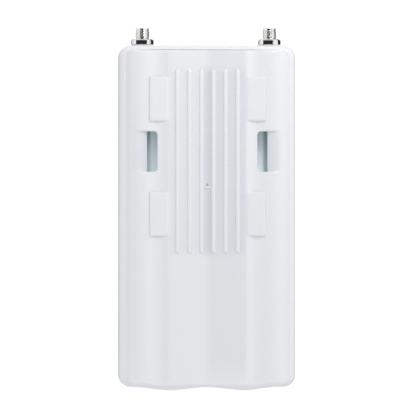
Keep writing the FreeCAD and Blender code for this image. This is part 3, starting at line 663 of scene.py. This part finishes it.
right_half = beyond(cover_across, *RIGHT_HALF_START)
beside_slot = within(cover_side, *SCOOP_FAR_SIDE) * beyond(cover_side, *SCOOP_NEAR_SIDE)
in_scoop = beside_slot * within(cover_height.size(), *SCOOP_ENDS)
on_shoulder = beyond(cover_side, *SHOULDER_START)
# Painted shade: the tint below darkens the trough, rib gaps, slot lead-ins and shoulders.
tint = in_trough * right_half * RIGHT_HALF_TINT
tint = tint + in_ribs * (RIB_GAP_TINT + right_half * RIGHT_GAP_EXTRA) + in_bottom * BOTTOM_TINT
tint = tint + in_scoop * (SCOOP_TINT - right_half * RIGHT_SCOOP_LESS) + on_shoulder * SHOULDER_TINT
cover_look.set(Base_Color=tint.mix(cover_look.colour, PAINTED_SHADE_COLOUR))
add_piece(
    "rear_cover_shown", cover_mesh(), cover_look.material, "housing", "housing_white", "rear_cover"
)


# ---- ribs and gate mark ------------------------------------------------------------------------
# Six long ribs are moulded with the back cover on the trough, to bite on the pole. Their crests
# are rounded and their ends slope down. A small disc with a sheared stub, and a low step under it,
# is where the plastic was let into the tool. The stub's dark grey is painted shade, for the shade
# in the small gate mark.
def repeat(name, mesh, material, count, start, step, mirrored):
    """The mesh repeated along a line, and mirrored to the other side if asked, as one mesh."""
    tree = bpy.data.node_groups.new(name + "_repeat", "GeometryNodeTree")
    sockets = {}
    for label, kind in (
        ("Geometry", "NodeSocketGeometry"), ("Count", "NodeSocketInt"),
        ("Start", "NodeSocketVector"), ("Step", "NodeSocketVector"),
        ("Mirrored", "NodeSocketBool"), ("Material", "NodeSocketMaterial"),
    ):
        sockets[label] = tree.interface.new_socket(label, in_out="INPUT", socket_type=kind)
    tree.interface.new_socket("Geometry", in_out="OUTPUT", socket_type="NodeSocketGeometry")
    new, link = tree.nodes.new, tree.links.new
    given = new("NodeGroupInput")
    line = new("GeometryNodeMeshLine")
    place = new("GeometryNodeInstanceOnPoints")
    whole = new("GeometryNodeRealizeInstances")
    flip_side = new("GeometryNodeTransform")
    flip_faces = new("GeometryNodeFlipFaces")
    choose = new("GeometryNodeSwitch")
    join = new("GeometryNodeJoinGeometry")
    last = new("GeometryNodeRealizeInstances")
    paint = new("GeometryNodeSetMaterial")
    result = new("NodeGroupOutput")
    flip_side.inputs["Scale"].default_value = (-1.0, 1.0, 1.0)
    choose.input_type = "GEOMETRY"
    link(given.outputs["Count"], line.inputs["Count"])
    link(given.outputs["Start"], line.inputs["Start Location"])
    link(given.outputs["Step"], line.inputs["Offset"])
    link(line.outputs["Mesh"], place.inputs["Points"])
    link(given.outputs["Geometry"], place.inputs["Instance"])
    link(place.outputs["Instances"], whole.inputs["Geometry"])
    link(whole.outputs["Geometry"], flip_side.inputs["Geometry"])
    link(flip_side.outputs["Geometry"], flip_faces.inputs["Mesh"])
    link(given.outputs["Mirrored"], choose.inputs["Switch"])
    link(flip_faces.outputs["Mesh"], choose.inputs["True"])
    link(choose.outputs["Output"], join.inputs["Geometry"])
    link(whole.outputs["Geometry"], join.inputs["Geometry"])
    link(join.outputs["Geometry"], last.inputs["Geometry"])
    link(last.outputs["Geometry"], paint.inputs["Geometry"])
    link(given.outputs["Material"], paint.inputs["Material"])
    link(paint.outputs["Geometry"], result.inputs["Geometry"])

    piece = bpy.data.objects.new(name, mesh)
    bpy.context.scene.collection.objects.link(piece)
    modifier = piece.modifiers.new("repeat", "NODES")
    modifier.node_group = tree
    modifier[sockets["Count"].identifier] = count
    modifier[sockets["Start"].identifier] = [v * MM for v in start]
    modifier[sockets["Step"].identifier] = [v * MM for v in step]
    modifier[sockets["Mirrored"].identifier] = mirrored
    modifier[sockets["Material"].identifier] = material
    return settle(piece)


def loft(name, sections, closed_ends=True):
    """A mesh through equal loops of points in millimetres, capped at both ends."""
    size = len(sections[0])
    verts = [Vector(point) * MM for section in sections for point in section]
    faces = []
    for i in range(len(sections) - 1):
        for j in range(size):
            k = (j + 1) % size
            faces.append((i * size + j, i * size + k, (i + 1) * size + k, (i + 1) * size + j))
    if closed_ends:
        faces.append(tuple(reversed(range(size))))
        faces.append(tuple(range((len(sections) - 1) * size, len(sections) * size)))
    mesh = bpy.data.meshes.new(name)
    mesh.from_pydata(verts, [], faces)
    weld(mesh)
    return mesh


RIB_HEIGHT = 0.9
RIB_FIRST_X = 2.75
RIB_STEP_X = 5.5


def rib_mesh():
    """One rib of the right-hand facet, with its crest's middle line at the origin."""
    length = 83.4
    crest_half, crest_fall, crest_turn = 0.78, 0.42, 1.35
    neck_half, neck_depth = 0.93, 0.82
    foot_half, foot_depth = 1.06, 0.02
    root_half, root_y = 1.1, 1.2

    def section(z, fall):
        """The rib's outline at a height, lowered by a share of its own height."""
        lowered = RIB_HEIGHT * fall
        crest = [
            (math.sin(turn) * crest_half, lowered + crest_fall * (1.0 - math.cos(turn)), z)
            for turn in np.linspace(-crest_turn, crest_turn, 11)
        ]
        neck_y = RIB_HEIGHT * neck_depth + lowered * (1.0 - neck_depth)
        flare = [(neck_half, neck_y, z), (foot_half, RIB_HEIGHT + foot_depth, z)]
        skirt = [(root_half, root_y, z), (-root_half, root_y, z)]
        other = [(-x, y, z_) for x, y, z_ in reversed(flare)]
        return crest + flare + skirt + other

    ends = [(0.0, 1.0), (0.12, 0.78), (0.3, 0.5), (0.5, 0.26), (0.75, 0.07), (1.1, 0.0)]
    sections = [section(-length / 2.0 + run, fall) for run, fall in ends]
    sections += [section(length / 2.0 - run, fall) for run, fall in reversed(ends)]
    mesh = loft("rib", sections)
    shade_smoothly(mesh, sharp_degrees=70.0)
    return mesh


rib_crest_y = TROUGH_Y - TROUGH_SLOPE * RIB_FIRST_X - RIB_HEIGHT
ribs = repeat(
    "cover_ribs", rib_mesh(), housing_white, 3, (RIB_FIRST_X, rib_crest_y, RIB_MIDDLE_Z),
    (RIB_STEP_X, -TROUGH_SLOPE * RIB_STEP_X, 0.0), True,
)
ride_on(ribs, "housing", "housing_white")


def lathe(name, profile, centre, axis="z", segments=48, displaced=None):
    """A closed turned shape from (radius, height) points in millimetres, about an upright axis."""
    sections = []
    for turn in np.linspace(0.0, 2.0 * math.pi, segments, endpoint=False):
        loop = []
        for radius, height in profile:
            r = radius + (displaced(radius, height, turn) if displaced else 0.0)
            across, away = r * math.cos(turn), r * math.sin(turn)
            if axis == "z":
                offset = Vector((across, away, height))
            else:
                offset = Vector((across, height, away))
            loop.append(Vector(centre) + offset)
        sections.append(loop)
    sections.append(sections[0])
    mesh = loft(name, sections, closed_ends=False)
    shade_smoothly(mesh, sharp_degrees=38.0)
    return mesh


GATE_CENTRE = (0.0, TROUGH_Y - 0.23, -15.0)
gate_outline = [(0.0, 0.9), (0.9, 0.9), (0.9, 0.2), (0.82, 0.12), (0.0, 0.12)]
gate = lathe("gate_mark", gate_outline, GATE_CENTRE, axis="y", segments=32)
add_piece("gate_mark", gate, housing_white, "housing", "housing_white")
# Painted shade: the stub is coloured dark grey for the shade in the gate mark.
gate_shade_look = finish_moulded("gate_painted_shade", (0.46, 0.465, 0.49), (0.36, 0.365, 0.39), 0.8, 5000.0)
stub_outline = [(0.0, 0.52), (0.62, 0.52), (0.62, 0.05), (0.35, -0.02), (0.0, 0.02)]
stub = lathe("gate_stub", stub_outline, GATE_CENTRE, axis="y", segments=24)
add_piece("gate_stub", stub, gate_shade_look, "housing", "housing_white")
STEP_HALF_X = 1.9
STEP_Z = -16.3
step_outline = [(2.3, -0.42), (1.62, -0.24), (1.5, 0.0), (1.56, 0.22), (1.7, 0.36), (2.3, 0.4)]
step_ends = [[(x, y, STEP_Z + z) for y, z in step_outline] for x in (-STEP_HALF_X, STEP_HALF_X)]
gate_step = loft("gate_step", step_ends)
shade_smoothly(gate_step, sharp_degrees=40.0)
add_piece("gate_step", gate_step, housing_white, "housing", "housing_white")


# ---- snap hooks --------------------------------------------------------------------------------
# Eight hooks moulded along the two sides of the back cover spring past the shell's rim and catch
# behind it, so the cover needs no screws.
HOOK_STEPS = (34.0, 2.0, -28.0, -56.0)


def hook_mesh():
    """The right-hand hook of a pair: a flat leg with a barb that points outwards."""
    outer, inner = 34.2, 32.9
    root, latch, nose, barb = 2.4, 6.3, 8.5, 0.8
    half_width = 4.0
    outline = [
        (inner, root), (outer, root), (outer, latch), (outer + barb, latch), (outer, nose), (inner, nose)
    ]
    mesh = loft("hook", [[(x, y, z) for x, y in outline] for z in (-half_width, half_width)])
    shade_smoothly(mesh, sharp_degrees=20.0)
    return mesh


for number, z in enumerate(HOOK_STEPS):
    hooks = repeat(
        "cover_hooks_" + str(number + 1), hook_mesh(), housing_white, 1, (0.0, 0.0, z),
        (0.0, 0.0, 0.0), True,
    )
    ride_on(hooks, "housing", "housing_white")


# ---- strap channel -----------------------------------------------------------------------------
# A separate grey trough behind the bridge between the slots. It keeps water out of the housing
# and guides the strap from one slot to the other. Its colour and a faint glow run from its top to
# its foot and inwards, in place of the light that bounces about in the deep slots.
CHANNEL_TOP = (9.15, 18.3)
CHANNEL_MOUTH = (26.4, 1.2)
CHANNEL_DARK = (0.30, 0.42, 0.41)
CHANNEL_PALE = (0.86, 0.89, 0.94)
GLOW_DARK = (0.04, 0.08, 0.08)
GLOW_PALE = (0.84, 0.90, 0.96)
GLOW_STRENGTH = 0.2
DOWN_SHARE = 0.42
INWARD_SHARE = 0.48
FLOW_SHARE = 0.1
CHANNEL_GRAIN_DEPTH = 0.01 * MM
channel_look = Finish("channel_grey")
channel_flow = channel_look.noise(60.0, 3.0)
channel_grain = channel_look.noise(2400.0)
channel_down = within(channel_look.along("Z"), *CHANNEL_TOP)
channel_inward = within(channel_look.along("X").size(), *CHANNEL_MOUTH)
channel_light = channel_down * DOWN_SHARE + channel_inward * INWARD_SHARE + channel_flow * FLOW_SHARE
channel_look.set(
    Base_Color=channel_light.mix(CHANNEL_DARK, CHANNEL_PALE),
    Emission_Color=(channel_light ** 2.0).mix(GLOW_DARK, GLOW_PALE),
    Emission_Strength=GLOW_STRENGTH,
    Roughness=0.45 + (channel_grain - 0.5) * 0.15,
)
channel_look.bump(channel_grain, CHANNEL_GRAIN_DEPTH)
refine_node("strap_channel", channel_look.material, "housing", "channel_grey")


# ---- cover gasket ------------------------------------------------------------------------------
# A soft black rubber cord lies in a groove of the shell's rim. The back cover squeezes it when it
# snaps shut.
RUBBER_BLACK = (0.035, 0.035, 0.037)
RUBBER_WORN = (0.055, 0.055, 0.057)
RUBBER_GRAIN_DEPTH = 0.02 * MM
seal_look = Finish("seal_rubber")
seal_mottle = seal_look.noise(900.0, 3.0)
seal_look.set(
    Base_Color=seal_mottle.mix(RUBBER_BLACK, RUBBER_WORN),
    Roughness=0.7 + (seal_mottle - 0.5) * 0.2,
)
seal_look.bump(seal_mottle, RUBBER_GRAIN_DEPTH)
refine_node("cover_gasket", seal_look.material, "housing", "seal_rubber")


# ---- circuit board -----------------------------------------------------------------------------
# A green four-layer board is clamped between the shell's posts and an aluminium heat spreader by
# four screws. Silicone pads carry the heat of the chips through the board to the spreader.
def paint(node, material):
    """Gives a CAD node that is shown as it is its material."""
    mesh = nodes[node].data
    if not mesh.materials:
        mesh.materials.append(material)
    for i in range(len(mesh.materials)):
        mesh.materials[i] = material


MARKS_A_METRE = 700.0
MARK_ROUGHNESS = 0.12
MARK_DEPTH = 0.004 * MM


def finish_metal(name, colour, shade, roughness, stretch=(1.0, 1.0, 1.0)):
    """Bare or plated metal with faint working marks."""
    look = Finish(name)
    marks = look.noise(MARKS_A_METRE, 3.0, stretch)
    look.set(
        Base_Color=marks.mix(colour, shade),
        Metallic=1.0,
        Roughness=roughness + (marks - 0.5) * MARK_ROUGHNESS,
    )
    look.bump(marks, MARK_DEPTH)
    return look.material


BOARD_DARK = (0.008, 0.10, 0.035)
BOARD_PALE = (0.02, 0.19, 0.07)
TRACK_DEPTH = 0.02 * MM
board_look = Finish("board_green")
board_weave = board_look.noise(500.0, 4.0, (1.0, 0.2, 1.0))
board_tracks = board_look.node(
    "ShaderNodeTexWave", "Fac", {"Vector": board_look.position, "Scale": 90.0, "Distortion": 9.0}
)
board_look.set(
    Base_Color=(board_tracks * 0.6 + board_weave * 0.4).mix(BOARD_DARK, BOARD_PALE),
    Roughness=0.35 + board_weave * 0.1,
)
board_look.bump(board_tracks, TRACK_DEPTH)
paint("circuit_board", board_look.material)
paint("heat_spreader", finish_metal(
    "spreader_aluminium", (0.80, 0.81, 0.82), (0.70, 0.71, 0.73), 0.38, (0.2, 1.0, 3.0)
))
paint("thermal_pads", finish_moulded(
    "thermal_silicone", (0.32, 0.38, 0.55), (0.28, 0.34, 0.5), 0.75, 1500.0
))
paint("board_screws", finish_metal("screw_steel", (0.56, 0.57, 0.6), (0.46, 0.47, 0.5), 0.3))


# ---- parts on the board ------------------------------------------------------------------------
# Soldered parts: two folded tin shields over the processor and the radio, the chips under them,
# power parts, surge arrestors and the isolating transformer of the network port.
shield_metal = finish_metal("shield_tin", (0.74, 0.74, 0.73), (0.62, 0.62, 0.62), 0.32, (3.0, 1.0, 0.3))
chip_black = finish_moulded("chip_black", (0.022, 0.022, 0.024), (0.03, 0.03, 0.032), 0.55, 3000.0)
capacitor_metal = finish_metal("capacitor_aluminium", (0.82, 0.82, 0.83), (0.72, 0.72, 0.74), 0.25)
inductor_grey = finish_moulded("inductor_grey", (0.12, 0.12, 0.125), (0.16, 0.16, 0.165), 0.7, 1800.0)
arrestor_white = finish_moulded("arrestor_ceramic", (0.72, 0.70, 0.66), (0.66, 0.64, 0.6), 0.4, 1600.0)
for node, material in (
    ("processor_shield", shield_metal), ("radio_shield", shield_metal),
    ("processor_chip", chip_black), ("memory_chips", chip_black), ("radio_chip", chip_black),
    ("power_amplifiers", chip_black), ("lan_transformer", chip_black),
    ("power_inductor", inductor_grey), ("power_capacitors", capacitor_metal),
    ("surge_arrestors", arrestor_white),
):
    paint(node, material)


# ---- lamps and light pipes ---------------------------------------------------------------------
# Six indicator lamps on the board shine into one clear moulded comb of light pipes, whose tips
# end flush with the front face.
lens_look = Finish("led_lens")
lens_cloud = lens_look.noise(900.0)
lens_look.set(
    Base_Color=lens_cloud.mix((0.75, 0.76, 0.6), (0.82, 0.82, 0.7)),
    Roughness=0.25 + lens_cloud * 0.1,
    Coat_Weight=0.4,
)
paint("status_leds", lens_look.material)

pipe_look = Finish("pipe_clear")
pipe_cloud = pipe_look.noise(700.0)
pipe_look.set(
    Base_Color=pipe_cloud.mix((0.72, 0.76, 0.78), (0.80, 0.83, 0.85)),
    Roughness=0.12 + pipe_cloud * 0.1,
    Transmission_Weight=0.5,
    Coat_Weight=0.6,
)
refine_node("light_pipes", pipe_look.material, "housing", "pipe_clear")


# ---- Ethernet socket ---------------------------------------------------------------------------
# A shielded eight-contact network socket hangs over the board's lower edge, open downwards. The
# folded tin shell surrounds a black moulded insert that holds eight gold-plated spring wires.
refine_node("ethernet_shield", shield_metal, "housing", "shield_tin")
socket_black = finish_moulded("socket_black", (0.02, 0.02, 0.021), (0.03, 0.03, 0.031), 0.45, 2200.0)
refine_node("ethernet_insert", socket_black, "housing", "socket_black")
contact_gold = finish_metal("contact_gold", (0.95, 0.70, 0.30), (0.85, 0.60, 0.24), 0.22)
refine_node("ethernet_contacts", contact_gold, "housing", "contact_gold")


# ---- reset button ------------------------------------------------------------------------------
# A small push switch is soldered to the board's lower edge. Its black button is worked from below
# through the port bay.
refine_node("reset_switch", socket_black, "housing", "socket_black")
button_black = finish_moulded("button_black", (0.03, 0.03, 0.032), (0.045, 0.045, 0.047), 0.5, 2600.0)
refine_node("reset_button", button_black, "button", "button_black")


# ---- antenna connectors ------------------------------------------------------------------------
# Two turned brass connectors, nickel plated, pass up through the top wall. A flange and a rubber
# washer seal each from inside and a hexagon nut clamps it from outside. The nose has a fine
# rolled thread for the antenna cable.
CONNECTOR_X = 29.0
CONNECTOR_Y = 16.4
TAIL_Z = 39.5
NUT_FOOT_Z = 48.6
NUT_TOP_Z = 51.3
THREAD_START_Z = 51.5
THREAD_END_Z = 55.45
THREAD_FADE = 0.4
THREAD_PITCH = 25.4 / 36.0
THREAD_TOP_R = 3.165
THREAD_ROOT_R = 2.8
THREAD_FLAT = 0.12
THREAD_FLANK = 0.7
TIP_Z = 56.35
nickel = finish_metal(
    "connector_nickel", (0.88, 0.875, 0.85), (0.80, 0.795, 0.77), 0.07, (1.0, 1.0, 6.0)
)
insulator_look = finish_moulded("insulator_white", (0.78, 0.77, 0.73), (0.7, 0.69, 0.66), 0.4, 2000.0)


def thread_wave(height, turn):
    """1 on the thread's crest and 0 at its root, at that height and angle round the axis."""
    phase = (height / THREAD_PITCH - turn / (2.0 * math.pi)) % 1.0
    flank = 1.0 - abs(2.0 * phase - 1.0)
    return min(max((flank - THREAD_FLAT) / THREAD_FLANK, 0.0), 1.0)


def thread_lift(radius, height, turn):
    """What the thread adds to the radius of the points that mark it."""
    if radius != THREAD_ROOT_R:
        return 0.0
    run_in = max((height - THREAD_START_Z) / THREAD_FADE, 0.0)
    run_out = max((THREAD_END_Z - height) / THREAD_FADE, 0.0)
    fade = min(run_in, run_out, 1.0)
    return (THREAD_TOP_R - THREAD_ROOT_R) * thread_wave(height, turn) * fade


def connector_profile():
    """The connector body's outline: tail, flange, neck, thread, tip and bore."""
    tail = [
        (2.3, TAIL_Z), (2.55, TAIL_Z), (2.7, 39.65), (2.7, 43.6), (4.4, 43.6), (4.4, 45.3), (2.93, 45.3)
    ]
    neck = [(2.93, 51.35), (THREAD_ROOT_R, THREAD_START_Z)]
    thread = [(THREAD_ROOT_R, z) for z in np.arange(51.58, 55.5, THREAD_PITCH / 9.0)]
    tip = [
        (2.6, 55.56), (2.6, 55.66), (2.82, 55.72), (2.93, 55.84), (2.93, 56.18), (2.86, 56.3),
        (2.76, TIP_Z),
    ]
    bore = [(2.5, TIP_Z), (2.38, 56.3), (2.3, 56.16), (2.3, 54.0)]
    return tail + neck + thread + tip + bore


def nut_mesh(name, x):
    """Hexagon nut, just off square, with slightly domed flats and its corners turned off."""
    corner_r, bore_r, chamfer, turned_off = 5.08, 2.95, 0.4, 0.55
    half_flat = corner_r / 2.0
    dome, first_facing = 0.4, -98.0
    outline = []
    for flat in range(6):
        facing = math.radians(60.0 * flat + first_facing)
        for along in np.linspace(-half_flat, half_flat, 9)[:-1]:
            out = corner_r * math.cos(math.pi / 6.0) + dome * (1.0 - (along / half_flat) ** 2)
            outline.append((
                out * math.cos(facing) - along * math.sin(facing),
                out * math.sin(facing) + along * math.cos(facing),
            ))
    sections = []
    for z, limit in (
        (NUT_FOOT_Z, corner_r - turned_off), (NUT_FOOT_Z + chamfer, corner_r),
        (NUT_TOP_Z - chamfer, corner_r), (NUT_TOP_Z, corner_r - turned_off),
    ):
        shares = [min(limit / math.hypot(*point), 1.0) for point in outline]
        sections.append([
            (x + share * px, CONNECTOR_Y + share * py, z) for share, (px, py) in zip(shares, outline)
        ])
    for z in (NUT_TOP_Z, NUT_FOOT_Z):
        sections.append([
            (x + bore_r * px / math.hypot(px, py), CONNECTOR_Y + bore_r * py / math.hypot(px, py), z)
            for px, py in outline
        ])
    sections.append(sections[0])
    mesh = loft(name, sections, closed_ends=False)
    shade_smoothly(mesh, sharp_degrees=22.0)
    return mesh


INSULATOR_OUTLINE = [
    (0.47, TAIL_Z), (2.29, TAIL_Z), (2.29, 54.05), (2.2, 54.14), (1.0, 54.14), (0.9, 54.0), (0.47, 54.0)
]
PIN_OUTLINE = [
    (0.0, TAIL_Z), (0.45, TAIL_Z), (0.45, 55.72), (0.38, 55.87), (0.24, 55.95), (0.0, 55.95)
]
for x, label in ((-CONNECTOR_X, "left"), (CONNECTOR_X, "right")):
    centre = (x, CONNECTOR_Y, 0.0)
    body = lathe(
        "rf_body_shown_" + label, connector_profile(), centre, segments=72, displaced=thread_lift
    )
    add_piece(body.name, body, nickel, "housing", "connector_nickel", "rf_body_" + label)
    nut = nut_mesh("rf_nut_shown_" + label, x)
    add_piece(nut.name, nut, nickel, "housing", "connector_nickel", "rf_nut_" + label)
    insulator = lathe("rf_insulator_shown_" + label, INSULATOR_OUTLINE, centre)
    add_piece(
        insulator.name, insulator, insulator_look, "housing", "insulator_white", "rf_insulator_" + label
    )
    pin = lathe("rf_center_pin_shown_" + label, PIN_OUTLINE, centre, segments=24)
    add_piece(pin.name, pin, contact_gold, "housing", "contact_gold", "rf_center_pin_" + label)
    paint("rf_seal_" + label, seal_look.material)


# ---- coax cables -------------------------------------------------------------------------------
# A thin jacketed coax cable runs inside the housing from each connector to a gold-plated snap-on
# plug on the board. Its jacket is black plastic.
jacket = finish_moulded("coax_jacket", (0.03, 0.03, 0.03), (0.045, 0.045, 0.045), 0.5, 1500.0)
for label in ("left", "right"):
    refine_node("coax_cable_" + label, jacket, "housing", "coax_jacket")
paint("coax_plugs", contact_gold)


# ---- stage, lights and camera ------------------------------------------------------------------
# Plain pale floor well below the object, which hangs from its pole seat. Soft lamps stand to the
# right, above and below in front of it, and an even white surround lights it from everywhere.
WHITE_LIGHT = (1.0, 1.0, 1.0)
BLACK = (0.0, 0.0, 0.0)
FLOOR_Z = -0.42
FLOOR_SIZE = 30.0
UPRIGHT = (90.0, 0.0, 0.0)
EDGE_ON = (0.0, 90.0, 0.0)


def stage_sheet(name, size, place, turn, material):
    """A flat sheet of the set, which isn't part of the object."""
    mesh = bpy.data.meshes.new(name)
    half_x, half_y = size[0] / 2.0, size[1] / 2.0
    mesh.from_pydata(
        [(-half_x, -half_y, 0), (half_x, -half_y, 0), (half_x, half_y, 0), (-half_x, half_y, 0)],
        [], [(0, 1, 2, 3)],
    )
    mesh.materials.append(material)
    sheet = bpy.data.objects.new(name, mesh)
    sheet.location = place
    sheet.rotation_euler = [math.radians(v) for v in turn]
    bpy.context.scene.collection.objects.link(sheet)
    return sheet


floor_look = Finish("floor_pale")
floor_mottle = floor_look.noise(4.0, 2.0)
floor_look.set(
    Base_Color=floor_mottle.mix((0.86, 0.86, 0.87), (0.88, 0.88, 0.885)),
    Roughness=0.6 + floor_mottle * 0.1,
)
floor_place = (0.0, 0.0, FLOOR_Z)
stage_sheet("floor", (FLOOR_SIZE, FLOOR_SIZE), floor_place, (0.0, 0.0, 0.0), floor_look.material)

# The backdrop is there for the camera: it lights nothing, casts no shadow and isn't reflected.
backdrop_look = Finish("backdrop_white")
backdrop_mottle = backdrop_look.noise(2.0, 1.0)
backdrop_look.set(
    Base_Color=BLACK,
    Roughness=1.0,
    Emission_Color=backdrop_mottle.mix(WHITE_LIGHT, (0.995, 0.995, 0.995)),
    Emission_Strength=1.02,
)
backdrop = stage_sheet("backdrop", (6.0, 6.0), (0.0, 4.0, 0.0), UPRIGHT, backdrop_look.material)
backdrop.visible_diffuse = False
backdrop.visible_glossy = False
backdrop.visible_shadow = False


def area_light(name, place, aim, size, power):
    """A soft white rectangular lamp at a place, turned to the aim."""
    data = bpy.data.lights.new(name, "AREA")
    data.shape = "RECTANGLE"
    data.size, data.size_y = size
    data.energy = power
    lamp = bpy.data.objects.new(name, data)
    lamp.location = place
    lamp.rotation_euler = (Vector(aim) - Vector(place)).to_track_quat("-Z", "Y").to_euler()
    bpy.context.scene.collection.objects.link(lamp)


for name, place, aim, size, power in (
    ("key_right", (0.85, -0.45, 0.45), (0.0, 0.0, -0.028), (0.35, 0.5), 0.4),
    ("near_top", (0.10, -0.20, 0.24), (0.0, 0.0, 0.0), (0.10, 0.08), 0.29),
    ("bounce", (0.0, -0.35, -0.36), (0.0, 0.0, -0.1), (0.5, 0.3), 0.36),
):
    area_light(name, place, aim, size, power)


def mirror_card(name, size, place, turn, material):
    """A card that is reflected but hidden from the camera: it makes the bands in plated metal."""
    card = stage_sheet(name, size, place, turn, material)
    card.visible_camera = False
    card.visible_diffuse = False
    card.visible_shadow = False


black_card = Finish("card_black")
black_mottle = black_card.noise(3.0, 1.0)
black_card.set(
    Base_Color=black_mottle.mix((0.012, 0.012, 0.012), (0.016, 0.016, 0.016)), Roughness=0.9
)
white_card = Finish("card_white")
white_mottle = white_card.noise(3.0, 1.0)
white_card.set(
    Base_Color=BLACK,
    Roughness=1.0,
    Emission_Color=white_mottle.mix(WHITE_LIGHT, (0.98, 0.98, 0.98)),
    Emission_Strength=1.05,
)
for name, size, place, turn, look in (
    ("card_front", (0.96, 2.4), (-0.27, -0.70, -0.05), UPRIGHT, black_card),
    ("card_back_right", (1.2, 1.6), (0.45, 0.92, -0.05), EDGE_ON, black_card),
    ("card_back_left", (1.2, 1.3), (-0.45, 1.4, -0.05), EDGE_ON, black_card),
    ("card_side_right", (1.2, 1.2), (0.90, -0.10, -0.05), EDGE_ON, white_card),
    ("card_side_left", (1.2, 1.5), (-1.10, -0.05, -0.05), EDGE_ON, white_card),
):
    mirror_card(name, size, place, turn, look.material)

SURROUND_STRENGTH = 0.793
world = bpy.data.worlds.new("surround")
bpy.context.scene.world = world
world.use_nodes = True
surround = world.node_tree.nodes["Background"]
surround.inputs["Color"].default_value = (*WHITE_LIGHT, 1.0)
surround.inputs["Strength"].default_value = SURROUND_STRENGTH

CAMERA_DISTANCE = 2.2
CAMERA_AIM = (0.0002, 0.0, -0.0256)
CAMERA_TURN_DEGREES = -2.5
FIELD_HEIGHT = 0.18857
SENSOR_WIDTH = 36.0
VIEW_DEPTH = 20.0
camera_data = bpy.data.cameras.new("camera")
camera_data.sensor_width = SENSOR_WIDTH
camera_data.lens = SENSOR_WIDTH * CAMERA_DISTANCE / FIELD_HEIGHT
camera_data.clip_end = VIEW_DEPTH
camera = bpy.data.objects.new("camera", camera_data)
camera_aim = Vector(CAMERA_AIM)
camera_turn = math.radians(CAMERA_TURN_DEGREES)
camera_from = Vector((math.sin(camera_turn), -math.cos(camera_turn), 0.0))
camera.location = camera_aim + CAMERA_DISTANCE * camera_from
camera.rotation_euler = (camera_aim - camera.location).to_track_quat("-Z", "Y").to_euler()
bpy.context.scene.collection.objects.link(camera)
bpy.context.scene.camera = camera
bpy.context.scene.view_settings.view_transform = "Standard"

bpy.context.view_layer.update()
